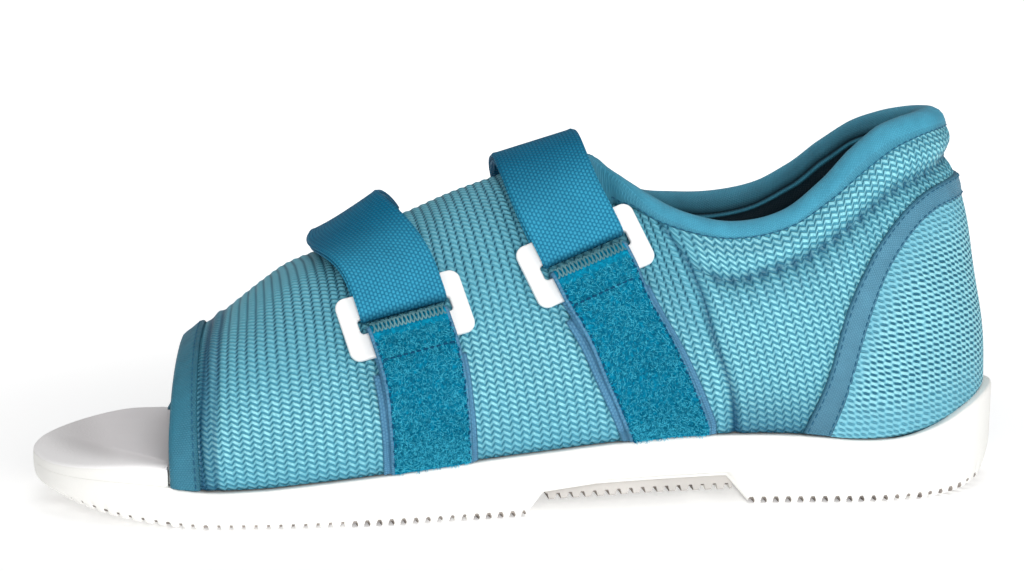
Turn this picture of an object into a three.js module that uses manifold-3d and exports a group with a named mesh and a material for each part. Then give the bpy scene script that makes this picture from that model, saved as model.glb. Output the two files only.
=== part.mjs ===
// Post operative shoe. Millimetres, toe toward -X, rings on the -Y side, floor at z = 0.
import * as THREE from "three";
import Module from "manifold-3d";

const wasm = await Module();
wasm.setup();
const { Manifold, Mesh, CrossSection } = wasm;

// Driving sizes
const gap = 0.3;              // clearance between pieces that touch
const wall = 2.6;             // fabric shell
const collarRoll = 7.6;       // padded collar, outer face to inner face
const rollRise = 3.4;         // crest of the collar above its outer edge
const bindingThick = 0.9;
const counterThick = 1.0;
const webbingWide = 25;
const webbingThick = 1.2;
const pileWide = 23.4;
const pileThick = 1.6;
const ring = { long: 36, high: 19, slotLong: 26.6, slotHigh: 4.4, thick: 1.8, corner: 3 };
const footbedThick = 5.4;
const columns = 40;           // facets from toe opening to heel centre
const levels = 10;            // facets from sole to ridge

const table = (names, rows) => rows.map((r) => Object.fromEntries(names.map((n, i) => [n, r[i]])));
const clamp = (x) => Math.min(1, Math.max(0, x));
const ease = (x) => { const t = clamp(x); return t * t * (3 - 2 * t); };
const mix = (a, b, t) => a.map((v, i) => v + (b[i] - v) * t);
const sub = (a, b) => a.map((v, i) => v - b[i]);
const add = (a, b, k = 1) => a.map((v, i) => v + b[i] * k);
const cross = (a, b) => [a[1] * b[2] - a[2] * b[1], a[2] * b[0] - a[0] * b[2], a[0] * b[1] - a[1] * b[0]];
const size = (a) => Math.hypot(...a);
const unit = (a) => a.map((v) => v / size(a));

// Smooth curve through rows of numbers, ordered by x.
function spline(x, rows, flatEnd = []) {
  const slope = rows.slice(1).map((r, i) => sub(r, rows[i]).map((v) => v / (x[i + 1] - x[i])));
  const m = rows.map((r, i) => {
    if (i === 0) return slope[0];
    if (i === rows.length - 1) return slope[i - 1].map((v, k) => (flatEnd.includes(k) ? 0 : v));
    const a = x[i] - x[i - 1], b = x[i + 1] - x[i];
    return slope[i].map((v, k) => (b * slope[i - 1][k] + a * v) / (a + b));
  });
  return (q) => {
    let i = 0;
    while (i < x.length - 2 && q > x[i + 1]) i += 1;
    const h = x[i + 1] - x[i], t = (q - x[i]) / h;
    const w = [(1 + 2 * t) * (1 - t) ** 2, t * (1 - t) ** 2 * h, t * t * (3 - 2 * t), t * t * (t - 1) * h];
    return rows[i].map((v, k) => w[0] * v + w[1] * m[i][k] + w[2] * rows[i + 1][k] + w[3] * m[i + 1][k]);
  };
}
const profile = (rows) => {
  const f = spline(rows.map((r) => r[0]), rows.map((r) => [r[1]]));
  return (x) => f(x)[0];
};

// Upper: ribs from the sole edge (b) to the ridge or topline (t), with lower (l) and upper (r) handles
const ribs = table(["bx", "by", "bz", "tx", "ty", "tz", "lx", "ly", "lz", "rx", "ry", "rz"], [
  [-101.2, 44.2, 11.75, -100.4, 0.0, 44.2, -0.6, 2.4, 21.5, -0.2, 27.0, -0.6],
  [-92.5, 45.8, 11.15, -91.6, 0.0, 50.6, -0.4, 2.6, 24.0, -0.2, 30.0, 0.0],
  [-80.0, 46.9, 11.3, -79.0, 0.0, 59.2, 0.0, 2.6, 27.0, -0.2, 32.0, 0.0],
  [-62.0, 47.6, 12.8, -60.0, 0.0, 67.1, 0.0, 2.2, 30.0, -0.2, 32.0, 0.0],
  [-43.5, 46.8, 14.5, -44.5, 0.0, 74.1, 0.0, 1.6, 33.0, 0.0, 29.5, -0.6],
  [-28.0, 44.8, 16.0, -30.0, 0.0, 80.5, 0.0, 1.2, 36.0, 0.0, 26.5, -1.0],
  [-12.0, 42.5, 17.4, -17.0, 0.0, 86.1, 0.0, 1.2, 38.0, 0.0, 24.0, -1.4],
  [4.0, 40.3, 18.6, -4.0, 0.0, 90.4, 0.0, 1.4, 38.0, 0.5, 22.5, -1.8],
  [18.0, 38.7, 19.7, 8.0, 0.0, 93.6, 0.0, 1.6, 37.0, 1.5, 21.0, -2.5],
  [29.0, 37.8, 20.4, 18.5, 0.0, 95.0, 0.0, 2.0, 35.0, 3.5, 19.0, -4.0],
  [38.0, 37.0, 20.9, 26.5, 15.0, 90.5, 0.0, 2.2, 33.0, 3.0, 11.0, -9.0],
  [47.0, 36.4, 21.1, 36.0, 25.5, 82.4, 0.0, 2.4, 30.0, 2.0, 6.0, -14.0],
  [57.0, 36.0, 21.0, 48.5, 30.5, 77.4, 0.5, 2.4, 28.0, 1.0, 4.0, -16.0],
  [68.0, 35.7, 20.6, 60.5, 31.8, 76.4, 0.5, 2.4, 28.0, 0.8, 3.5, -16.0],
  [79.0, 35.5, 19.8, 72.5, 31.2, 79.4, 0.5, 2.4, 29.0, 0.8, 3.5, -18.0],
  [90.0, 35.2, 18.5, 83.0, 29.0, 86.6, 1.0, 2.6, 32.0, 1.0, 3.5, -20.0],
  [101.0, 34.0, 18.1, 92.0, 26.4, 94.6, 1.5, 2.4, 34.0, 2.0, 3.5, -22.0],
  [111.6, 30.4, 18.1, 101.0, 23.2, 100.6, 2.0, 2.0, 34.0, 3.0, 3.5, -22.0],
  [120.7, 24.8, 18.1, 109.4, 18.6, 103.0, 2.2, 1.6, 34.0, 4.0, 3.0, -22.0],
  [127.8, 17.6, 18.1, 116.3, 13.0, 103.8, 2.0, 1.2, 34.0, 4.4, 2.5, -22.0],
  [132.2, 9.2, 18.1, 120.6, 6.6, 104.0, 1.4, 0.6, 34.0, 4.4, 1.2, -22.0],
  [133.8, 0.0, 18.1, 121.7, 0.0, 104.0, 1.0, 0.0, 34.0, 4.0, 0.0, -22.0],
]);
const throatRib = 9;          // last rib that reaches the ridge
const lengths = ribs.map((r, i) => {
  const before = ribs[Math.max(0, i - 1)];
  return Math.hypot(r.bx - before.bx, r.by - before.by, r.bz - before.bz);
});
const run = lengths.reduce((a, b) => a + b);
let walked = 0;
const stations = lengths.map((d) => (walked += d) / run);
const throat = stations[throatRib];
const ribAt = spline(stations, ribs.map((r) => Object.values(r)), [0, 2, 3, 5, 6, 8, 9, 11]);

// The toe opening slants back toward the far side, and the far collar sits a little lower.
function slant([x, y, z]) {
  const front = ease((-58 - x) / 30) * (0.03 + 0.1 * ease((z - 8) / 22));
  const low = (0.15 * Math.exp(-(((x - 98) / 22) ** 2)) + 0.11 * Math.exp(-(((x - 34) / 13) ** 2)))
    * clamp((z - 60) / 25);
  return [x + front * (y + 40), y, z - low * Math.max(0, y + 6)];
}
function bareSkin(u, v) {
  const r = ribAt(clamp(u)), side = v > 1 ? 1 : -1, q = v > 1 ? 2 - v : v, w = 1 - q;
  const p = [0, 1, 2].map((k) => w ** 3 * r[k] + 3 * w * w * q * (r[k] + r[k + 6])
    + 3 * w * q * q * (r[k + 3] + r[k + 9]) + q ** 3 * r[k + 3]);
  return [p[0], side * p[1], p[2]];
}
// Point of the outer face, v from 0 (near sole edge) over 1 (ridge) to 2 (far sole edge), raised by h.
function bareNormal(u, v) {
  const e = 1e-3, q = v > 1 ? Math.max(v, 1 + e) : Math.min(v, 1 - e);
  const a = sub(bareSkin(u + e, q), bareSkin(u - e, q));
  const b = sub(bareSkin(u, q + e / 2), bareSkin(u, q - e / 2));
  const n = unit(cross(a, b));
  return v === 1 && u <= throat ? unit([n[0], 0, n[2]]) : u > 1 - e ? unit([n[0], 0, n[2]]) : n;
}
const skin = (u, v, h) => add(bareSkin(u, v), bareNormal(u, v), h);

// Closed solid from a vertex list and faces; welds equal points.
function solid(points, faces) {
  const seen = new Map(), verts = [], index = points.map((p) => {
    const key = p.map((c) => Math.round(c * 1e4)).join();
    if (!seen.has(key)) { seen.set(key, verts.length / 3); verts.push(...p); }
    return seen.get(key);
  });
  const tris = faces.map((f) => f.map((i) => index[i])).filter(([a, b, c]) => a !== b && b !== c && a !== c);
  const made = new Manifold(new Mesh({
    numProp: 3, vertProperties: new Float32Array(verts), triVerts: new Uint32Array(tris.flat()),
  }));
  return made.volume() < 0 ? flip(made) : made;
}
const flip = (m) => m.mirror([0, 1, 0]).mirror([0, 1, 0]);

// Column places: even, with one on the throat.
const throatColumn = Math.round(columns * throat);
const us = Array.from({ length: columns + 1 }, (_, i) => (i <= throatColumn
  ? throat * i / throatColumn : throat + (1 - throat) * (i - throatColumn) / (columns - throatColumn)));
const roll = (u) => ease((u - throat) / 0.075);
const thickness = (u, v) => wall + (collarRoll - wall) * roll(u) * ease(((v > 1 ? 2 - v : v) - 0.62) / 0.3);

// The whole fabric shell, grown by g on every side.
function shell(g) {
  const points = [], at = new Map(), faces = [];
  const put = (key, p) => {
    if (!at.has(key)) { at.set(key, points.length); points.push(p); }
    return at.get(key);
  };
  const capSteps = 4;
  // one rib of one half: outer points from the sole up, cap, inner points back down
  const rib = (i, side) => {
    const u = us[i], out = [], inn = [];
    for (let j = 0; j <= levels; j += 1) {
      const q = side < 0 ? Math.max(2 - j / levels, 1 + 1e-9) : j / levels;
      const o = skin(u, q, g), n = skin(u, q, -thickness(u, q) - g);
      if (j === 0) { o[2] -= g; n[2] = bareSkin(u, q)[2] - g; }
      if (i === 0) { o[0] -= g; n[0] = bareSkin(u, q)[0] - g; }
      if (i === columns) { o[1] = 0; n[1] = 0; }
      if (j === levels && i === throatColumn) { o[0] += g; n[0] += g; }
      if (j === levels && u <= throat + 1e-9) { o[1] = 0; n[1] = 0; }
      out.push(o); inn.push(n);
    }
    const cap = [];
    if (i > throatColumn) {
      const along = unit(sub(bareSkin(u, 1), bareSkin(u, 0.95)));
      const edge = sub(bareSkin(u + 1e-3, 1), bareSkin(u - 1e-3, 1));
      const lead = unit(cross(bareNormal(u, 1), edge));
      const up = along.map((c, k) => c * (0.9 + (rollRise - 0.9) * roll(u)) + lead[k] * g);
      up[1] = side < 0 ? -up[1] : up[1];
      for (let k = 1; k < capSteps; k += 1) {
        const a = Math.PI * k / capSteps, mid = mix(out[levels], inn[levels], (1 - Math.cos(a)) / 2);
        cap.push(add(mid, up, Math.sin(a)));
      }
      if (i === columns) cap.forEach((c) => { c[1] = 0; });
    }
    return { out, cap, inn };
  };
  for (const side of [1, -1]) {
    const rows = us.map((u, i) => rib(i, side));
    const s = side > 0 ? "n" : "f";
    const id = (i, part, j) => {
      const shared = i === columns || (part !== "c" && j === levels && i <= throatColumn);
      return put(`${shared ? "s" : s}${part}${i},${j}`, rows[i][{ o: "out", i: "inn", c: "cap" }[part]][j]);
    };
    const face = (a, b, c, d) => faces.push(...(side > 0 ? [[a, b, c], [a, c, d]] : [[a, c, b], [a, d, c]]));
    for (let i = 0; i < columns; i += 1) {
      for (let j = 0; j < levels; j += 1) {
        face(id(i, "o", j), id(i + 1, "o", j), id(i + 1, "o", j + 1), id(i, "o", j + 1));
        face(id(i, "i", j), id(i, "i", j + 1), id(i + 1, "i", j + 1), id(i + 1, "i", j));
      }
      face(id(i, "i", 0), id(i + 1, "i", 0), id(i + 1, "o", 0), id(i, "o", 0));
      if (i >= throatColumn) {
        const line = (k) => [id(k, "o", levels),
          ...(k > throatColumn ? [1, 2, 3].map((c) => id(k, "c", c - 1)) : []), id(k, "i", levels)];
        const a = line(i), b = line(i + 1);
        if (a.length === b.length) {
          for (let k = 0; k < a.length - 1; k += 1) face(a[k], b[k], b[k + 1], a[k + 1]);
        } else {
          const tri = (p, q, r) => faces.push(side > 0 ? [p, q, r] : [p, r, q]);
          tri(a[0], b[0], b[1]); tri(a[0], b[1], b[2]); tri(a[0], b[2], a[1]); tri(a[1], b[2], b[3]);
          tri(a[1], b[3], b[4]);
        }
      }
    }
    for (let j = 0; j < levels; j += 1) {
      face(id(0, "i", j), id(0, "o", j), id(0, "o", j + 1), id(0, "i", j + 1));
    }
  }
  return solid(points, faces);
}
// Region of a side view, through the whole width or only the near half.
function region(outline, y0 = -80, y1 = 80) {
  let cut = new CrossSection([outline]);
  if (cut.area() < 1) cut = new CrossSection([[...outline].reverse()]);
  return Manifold.extrude(cut, y1 - y0).rotate([90, 0, 0]).translate([0, y1, 0]);
}
// Body filled in under the outer face, grown by h.
function core(h) {
  const half = Array.from({ length: levels + 1 }, (_, j) => j / levels);
  const vs = [...half, ...half.map((v) => 1 + v + (v ? 0 : 1e-9))], last = vs.length - 1;
  const points = [], faces = [], id = (i, j) => i * vs.length + j;
  us.forEach((u, i) => vs.forEach((v, j) => {
    const p = skin(u, v, h);
    if (j === 0 || j === last) p[2] -= h;
    if (i === columns || (v === 1 && u <= throat + 1e-9)) p[1] = 0;
    if (j === levels + 1 && u <= throat + 1e-9) p.splice(0, 3, ...points[points.length - 1]);
    points.push(p);
  }));
  for (let i = 0; i < columns; i += 1) {
    for (let j = 0; j < last; j += 1) {
      faces.push([id(i, j), id(i + 1, j), id(i + 1, j + 1)], [id(i, j), id(i + 1, j + 1), id(i, j + 1)]);
    }
    faces.push([id(i, 0), id(i, last), id(i + 1, last)], [id(i, 0), id(i + 1, last), id(i + 1, 0)]);
  }
  for (let j = 1; j < last; j += 1) faces.push([id(0, 0), id(0, j), id(0, j + 1)]);
  return solid(points, faces);
}

// Solid on a plan outline (near half, toe to heel); levels are [inset, height], each a number or a curve.
function slab(line, steps, farLine = line) {
  const points = [], faces = [], n = line.length;
  const id = (level, k, far) => (level * n + k) * 2 + far;
  const value = (f, x) => (typeof f === "number" ? f : f(x));
  for (const [inset, height] of steps) {
    for (let k = 0; k < n; k += 1) {
      for (const [outline, side] of [[line, -1], [farLine, 1]]) {
        const a = outline[Math.max(0, k - 1)], b = outline[Math.min(n - 1, k + 1)];
        const d = k === 0 ? [1, 0] : k === n - 1 ? [-1, 0] : unit([b[1] - a[1], a[0] - b[0]]);
        const i = value(inset, outline[k][0]), x = outline[k][0] + d[0] * i;
        points.push([x, side * (outline[k][1] + d[1] * i), value(height, x)]);
      }
    }
  }
  const quad = (a, b, c, d) => faces.push([a, b, c], [a, c, d]);
  for (let k = 0; k < n - 1; k += 1) {
    for (let i = 0; i < steps.length - 1; i += 1) {
      quad(id(i, k, 0), id(i, k + 1, 0), id(i + 1, k + 1, 0), id(i + 1, k, 0));
      quad(id(i, k, 1), id(i + 1, k, 1), id(i + 1, k + 1, 1), id(i, k + 1, 1));
    }
    const top = steps.length - 1;
    quad(id(0, k, 0), id(0, k, 1), id(0, k + 1, 1), id(0, k + 1, 0));
    quad(id(top, k, 0), id(top, k + 1, 0), id(top, k + 1, 1), id(top, k, 1));
  }
  return solid(points, faces);
}

// Outsole: half width by length, floor under the footbed, edge height, bottom, and the bottom's inset
const halfWide = [
  [-137.9, 0], [-137.3, 7], [-135.9, 13.6], [-133.6, 20], [-129.5, 26.6], [-124, 32.2], [-117, 37],
  [-109, 41], [-100, 44.6], [-90, 47], [-77, 48.5], [-62, 48.9], [-46, 48.2], [-30, 46.3], [-14, 43.9],
  [3, 41.7], [20, 39.6], [36, 38], [52, 37], [68, 36.6], [82, 36.6], [94, 36.5], [104, 35.4],
  [113, 32.9], [121, 28.8], [127.6, 23], [132.6, 16], [136, 8.6], [137.3, 4.2], [137.9, 0],
];
const floorAt = profile([
  [-139, 12.1], [-103.5, 11.8], [-92.5, 10.7], [-80, 11], [-62, 12.5], [-43.5, 14.2], [-28, 15.7],
  [-12, 17.1], [4, 18.3], [18, 19.4], [29, 20.1], [38, 20.6], [47, 20.8], [57, 20.7], [68, 20.3],
  [79, 19.5], [90, 18.2], [100, 17.8], [140, 17.8],
]);
const rimAt = profile([[80, 0], [97, 0], [104, 0.5], [117, 3.4], [126.4, 6.9], [134, 9.5], [139, 10.4]]);
const edgeAt = (x) => floorAt(x) + (x > 97 ? rimAt(x) : 0);
const bottomCurve = profile([
  [-139, 4.6], [-131, 4.2], [-122, 2.8], [-113, 1.5], [-104, 0.6], [-97, 0.15], [-92, 0], [-80, 0],
  [100, 0], [112, 0], [120, 0.4], [127, 1.1], [134, 2.2], [139, 3.4],
]);
const bottomAt = (x) => Math.max(0, bottomCurve(x));
const bottomInset = profile([
  [-139, 5.2], [-134, 3.9], [-122, 2.2], [-104, 1.3], [-70, 1.4], [0, 2.2], [40, 4.2], [61, 4.6],
  [80, 3], [99, 1.2], [128, 1.5], [139, 2.6],
]);
const soleBody = slab(halfWide, [
  [(x) => bottomInset(x) + 1.1, bottomAt], [bottomInset, (x) => bottomAt(x) + 1],
  [0.5, (x) => 0.4 * bottomAt(x) + 0.6 * floorAt(x) * 0.85 + (x > 97 ? 2 : 0)],
  [0, (x) => edgeAt(x) - 1], [0.6, edgeAt],
]);
const archCut = region([[-3.4, -1], [-3, 0.5], [2.2, 6.5], [17.5, 7.8], [55, 8.1], [61.2, 0.6], [61.6, -1]]);
const padLine = halfWide.filter(([x]) => x > -4 && x < 70).map(([x, y]) => [x, y - 7.4]);
const archPad = slab([[2, 0], ...padLine, [69, 0]], [[0, 2], [0, 9]])
  .intersect(region([[3.2, 2.9], [30, 3.6], [57, 3.7], [53.6, 8.4], [40, 9], [12, 9], [4.4, 7.4]]));
const heelCup = core(gap).intersect(region([[90, 0], [150, 0], [150, 60], [90, 60]]));
const outsole = soleBody.subtract(archCut).add(archPad).subtract(heelCup);

// Footbed: as wide as the sole in the open toe, then stepped in behind the upper's edge
const toePart = halfWide.filter(([x]) => x < -108).map(([x, y]) => [x, Math.max(0, y - 0.1)]);
const inside = us.map((u) => skin(u, 0, -wall - gap - 0.3)).filter(([x]) => x > -85)
  .map(([x, y]) => [x, Math.abs(y)]);
inside[inside.length - 1][1] = 0;
const bedLine = (step) => [...toePart, [step, 43.2], [step + 0.5, 39.3], [step + 6, 40.3],
  [step + 10.5, 40.9], ...inside];
const bedAt = (rise) => (x) => floorAt(x) + gap + rise;
const footbed = slab(bedLine(-103.6), [
  [0, bedAt(0)], [0, bedAt(footbedThick - 1.6)], [0.35, bedAt(footbedThick - 0.6)],
  [1.3, bedAt(footbedThick)],
], bedLine(-100.4));

const upper = shell(0);
const bound = shell(gap + bindingThick).subtract(shell(gap)).subtract(shell(gap / 2));
const toeBinding = bound.intersect(region([[-120, 13.4], [-94.8, 11.2], [-94.8, 70], [-120, 70]]));
const whole = (m) => m.decompose().sort((a, b) => b.volume() - a.volume())[0];
const collarBinding = whole(bound.intersect(region([
  [12.5, 115], [12.5, 92], [20, 90], [26, 87], [30, 84.8], [36, 80.8], [41, 78.2], [50, 76.7],
  [61, 76.2], [72.6, 78.3], [81, 82.6], [89.6, 89], [96, 94.4], [101.6, 98.4], [108, 101.6],
  [119, 102.2], [132, 101.6], [132, 115],
])));

// Layer on the outer face between two heights, cut to an outline of the side view.
const layer = (low, high, outline) => core(high).subtract(core(low)).intersect(region(outline));
const soleLine = [138, 135, 132, 129, 125, 120, 114, 108, 102, 96, 88].map((x) => [x, edgeAt(x) + 0.45]);
const tapeLow = [
  [76, 20.6], [83.2, 37.3], [87.8, 53], [94.5, 66.9], [105.1, 80.3], [113.5, 86], [122.3, 88.5], [140, 88],
];
const tapeHigh = [
  [83.6, 19.6], [88.5, 32.2], [93, 47.6], [98.6, 61.8], [108.8, 76.1], [117, 81.3], [123.7, 82.6],
  [140, 82],
];
const counterBinding = layer(gap, gap + 1.5, [...tapeLow, ...[...tapeHigh].reverse()]);
const heelCounter = layer(gap, gap + counterThick, [
  ...tapeHigh.map(([x, z]) => [x + 0.4, z - 0.2]), ...soleLine,
]);

const dot = (a, b) => a[0] * b[0] + a[1] * b[1] + a[2] * b[2];
// A lane carries one strap: ring place and axes, crest over the ridge, and the way down to the sole edge.
function lane({ at, lift, wide, out, crest, crestWide, foot }) {
  const o = skin(...at, lift), w0 = unit(add(wide, out, -dot(wide, out)));
  const t0 = cross(out, w0), rise = (t, w, h) => add(add(add(o, t0, t), w0, w), out, h);
  const start = 11, from = rise(start, 0, 0), span = size(sub(crest, from)) * 1.08;
  const arc = (s) => [0, 1, 2].map((k) => (1 + 2 * s) * (1 - s) ** 2 * from[k]
    + s * (1 - s) ** 2 * t0[k] * span + s * s * (3 - 2 * s) * crest[k]
    + s * s * (s - 1) * (k === 1 ? 1 : 0) * span);
  const top = start + span;
  const onArc = (t, w, h) => {
    const s = clamp((t - start) / span), e = 1e-3;
    const dir = unit(sub(arc(Math.min(1, s + e)), arc(Math.max(0, s - e))));
    const across = unit(mix(w0, crestWide, ease(s))), n = unit(cross(across, dir));
    return add(add(arc(s), across, w), n, h);
  };
  const way = [at, ...foot];
  const reach = way.map((p, i) => (i ? size(sub(skin(...p, 0), skin(...way[i - 1], 0))) : 0));
  reach.forEach((d, i) => { if (i) reach[i] += reach[i - 1]; });
  const path = spline(reach, way);
  const onFace = (t, w, h) => {
    const s = Math.min(-t, reach[reach.length - 1]), [u, v] = path(s), e = 1e-3, p = skin(u, v, 0);
    const a = path(Math.max(0, s - 1)), dir = unit(sub(skin(...a, 0), p)), n = bareNormal(u, v);
    const across = unit(cross(dir, n)), du = sub(skin(u + e, v, 0), p), dv = sub(skin(u, v + e, 0), p);
    const a1 = dot(du, du), b1 = dot(du, dv), c1 = dot(dv, dv), f = dot(du, across), g = dot(dv, across);
    const det = a1 * c1 - b1 * b1, cu = (f * c1 - g * b1) / det * e, cv = (g * a1 - f * b1) / det * e;
    const down = -t - s;
    return add(skin(u + cu * w, Math.max(0, v + cv * w), h), [0, 0, -1], down);
  };
  const place = (t, w, h) => {
    if (t > top) { const p = place(2 * top - t, w, h); return [p[0], -p[1], p[2]]; }
    if (t > start) return onArc(t, w, h);
    if (t > -8) return rise(t, w, h);
    return mix(rise(t, w, h), onFace(t, w, h), ease((-t - 8) / 20));
  };
  return { place, top, reach: reach[reach.length - 1], frame: { o, t0, w0, out } };
}
// Tape of even thickness laid in a lane: path of [along, height] centre points.
function tape(track, path, thick, broad, columnsWide = 3) {
  const fine = [path[0]];
  for (let i = 1; i < path.length; i += 1) {
    const steps = Math.max(1, Math.ceil(Math.hypot(...sub(path[i], path[i - 1])) / 5));
    for (let k = 1; k <= steps; k += 1) fine.push(mix(path[i - 1], path[i], k / steps));
  }
  const points = [], faces = [], m = columnsWide + 1;
  fine.forEach((p, i) => {
    const d = unit(sub(fine[Math.min(fine.length - 1, i + 1)], fine[Math.max(0, i - 1)]));
    for (const s of [-1, 1]) {
      for (let c = 0; c < m; c += 1) {
        const along = p[0] - d[1] * s * thick / 2, high = p[1] + d[0] * s * thick / 2;
        points.push(track.place(along, (c / columnsWide - 0.5) * broad, high));
      }
    }
  });
  const id = (i, s, c) => (i * 2 + s) * m + c, quad = (a, b, c, d) => faces.push([a, b, c], [a, c, d]);
  for (let i = 0; i < fine.length - 1; i += 1) {
    for (let c = 0; c < columnsWide; c += 1) {
      quad(id(i, 1, c), id(i, 1, c + 1), id(i + 1, 1, c + 1), id(i + 1, 1, c));
      quad(id(i, 0, c), id(i + 1, 0, c), id(i + 1, 0, c + 1), id(i, 0, c + 1));
    }
    quad(id(i, 0, 0), id(i, 1, 0), id(i + 1, 1, 0), id(i + 1, 0, 0));
    quad(id(i, 1, m - 1), id(i, 0, m - 1), id(i + 1, 0, m - 1), id(i + 1, 1, m - 1));
  }
  for (let c = 0; c < columnsWide; c += 1) {
    const e = fine.length - 1;
    quad(id(0, 0, c), id(0, 0, c + 1), id(0, 1, c + 1), id(0, 1, c));
    quad(id(e, 0, c), id(e, 1, c), id(e, 1, c + 1), id(e, 0, c + 1));
  }
  return solid(points, faces);
}
function loopRing({ o, t0, w0, out }, height) {
  const box = (x, y, r) => CrossSection.square([x - 2 * r, y - 2 * r], true).offset(r, "Round", 2, 20);
  const flat = box(ring.long, ring.high, ring.corner).subtract(box(ring.slotLong, ring.slotHigh, 1));
  const c = add(o, out, height);
  return Manifold.extrude(flat, ring.thick).transform([...w0, 0, ...t0, 0, ...out, 0, ...c, 1]);
}
const bend = (t, h, r, a0, a1, n = 6) => Array.from({ length: n + 1 }, (_, i) => {
  const a = a0 + (a1 - a0) * i / n;
  return [t + r * Math.cos(a), h + r * Math.sin(a)];
});
const lanes = {
  front: lane({
    at: [0.258, 0.457], lift: 0.2, wide: [0.966, 0.053, 0.249], out: unit([-0.04, -0.84, 0.54]),
    crest: [-47.9, 0, 76.3], crestWide: unit([0.815, 0, 0.58]),
    foot: [[0.268, 0.3], [0.277, 0.14], [0.2795, 0]],
  }),
  rear: lane({
    at: [0.477, 0.504], lift: 1.2, wide: [0.925, 0.153, 0.344], out: unit([-0.02, -0.895, 0.445]),
    crest: [5.6, 0, 95.9], crestWide: unit([0.96, 0, 0.28]),
    foot: [[0.503, 0.35], [0.5285, 0.18], [0.5525, 0]],
  }),
};
const ringLow = 2.3, ringMid = ringLow + ring.thick / 2;
const soleEdge = Array.from({ length: 25 }, (_, i) => [90 - 7.5 * i, floorAt(90 - 7.5 * i) + 0.4]).reverse();
function strapSet(track) {
  const foot = -track.reach, top = track.top, far = 2 * top;
  const s = ring.thick / 2 + gap + webbingThick / 2, p = ring.thick / 2 + gap + pileThick / 2;
  const first = 1.5, second = first + webbingThick + gap;
  const aboveSole = region([...soleEdge, [90, 120], [-90, 120]]);
  return {
    strap: tape(track, [[far - foot + 8, 1], [far + 20, 1.2], [far - 12, first], [top, first], [16, first],
      [9.6, ringMid - s], ...bend(2.74, ringMid, s, 1.5 * Math.PI, 0.5 * Math.PI), [9.6, ringMid + s],
      [20, second + 0.6], [30, second], [top, second], [top + 26, second]],
    webbingThick, webbingWide).intersect(aboveSole),
    backing: tape(track, [[foot - 8, 0.75], [-14, 0.75]], 0.8, webbingWide + 1.4).intersect(aboveSole),
    pile: tape(track, [[foot - 8, 2.3], [-32, 2.3], [-26, 3.1], [-21, 4.4], [-15, 4.9], [-9.6, ringMid + p],
      ...bend(-2.74, ringMid, p, 0.5 * Math.PI, -0.5 * Math.PI), [-9.6, ringMid - p], [-14, 2.2],
      [-19, 2.3]],
    pileThick, pileWide).intersect(aboveSole),
    ring: loopRing(track.frame, ringLow),
  };
}
const front = strapSet(lanes.front), rear = strapSet(lanes.rear);

// Name, body, colour; the last column tells which pieces follow the slanted openings.
const pieces = table(["name", "body", "color", "roughness", "slants"], [
  ["outsole", outsole, 0xf4f4f1, 0.7, 0],
  ["footbed", footbed, 0xf2f2ef, 0.8, 0],
  ["upper", upper, 0x5fa9be, 0.9, 1],
  ["toe_binding", toeBinding, 0x3a88aa, 0.9, 1],
  ["collar_binding", collarBinding, 0x3a88aa, 0.9, 1],
  ["heel_counter", heelCounter, 0x4f9db8, 0.9, 1],
  ["counter_binding", counterBinding, 0x4a8cb0, 0.9, 1],
  ["front_backing", front.backing, 0x5a95be, 0.9, 0],
  ["front_pile_strip", front.pile, 0x0e86a6, 1, 0],
  ["front_ring", front.ring, 0xf6f6f6, 0.4, 0],
  ["front_strap", front.strap, 0x22809c, 0.8, 0],
  ["rear_backing", rear.backing, 0x5a95be, 0.9, 0],
  ["rear_pile_strip", rear.pile, 0x0e86a6, 1, 0],
  ["rear_ring", rear.ring, 0xf6f6f6, 0.4, 0],
  ["rear_strap", rear.strap, 0x22809c, 0.8, 0],
]);
for (const piece of pieces) {
  if (piece.slants) piece.body = piece.body.warp((p) => { [p[0], p[1], p[2]] = slant(p); });
}
const sides = pieces.map(({ body }) => body.boundingBox());
const middle = (Math.min(...sides.map((b) => b.min[1])) + Math.max(...sides.map((b) => b.max[1]))) / 2;
const group = new THREE.Group();
for (const { name, body, color, roughness } of pieces) {
  const mesh = body.translate([0, -middle, 0]).simplify(0.004).getMesh();
  const geometry = new THREE.BufferGeometry();
  geometry.setAttribute("position", new THREE.BufferAttribute(new Float32Array(mesh.vertProperties), 3));
  geometry.setIndex(new THREE.BufferAttribute(new Uint32Array(mesh.triVerts), 1));
  geometry.computeVertexNormals();
  const made = new THREE.Mesh(geometry, new THREE.MeshStandardMaterial({ color, roughness }));
  made.name = name;
  group.add(made);
}

export default group;
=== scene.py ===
import math
import bmesh
import bpy
import numpy as np
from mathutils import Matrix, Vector


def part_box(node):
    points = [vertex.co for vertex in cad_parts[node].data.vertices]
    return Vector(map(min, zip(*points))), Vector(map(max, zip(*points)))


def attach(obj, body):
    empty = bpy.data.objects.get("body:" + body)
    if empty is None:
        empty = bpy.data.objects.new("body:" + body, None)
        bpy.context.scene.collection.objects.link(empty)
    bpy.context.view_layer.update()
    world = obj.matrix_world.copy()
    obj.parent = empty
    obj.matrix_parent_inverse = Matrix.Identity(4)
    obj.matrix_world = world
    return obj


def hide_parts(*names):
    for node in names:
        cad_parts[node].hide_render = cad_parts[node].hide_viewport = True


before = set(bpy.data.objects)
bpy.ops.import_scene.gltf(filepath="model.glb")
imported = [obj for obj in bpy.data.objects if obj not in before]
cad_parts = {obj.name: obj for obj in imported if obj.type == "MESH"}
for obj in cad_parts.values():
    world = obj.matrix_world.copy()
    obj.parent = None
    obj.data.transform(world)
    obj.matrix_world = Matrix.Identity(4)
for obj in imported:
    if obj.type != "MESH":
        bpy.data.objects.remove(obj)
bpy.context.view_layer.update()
soleLow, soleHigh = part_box("outsole")
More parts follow.
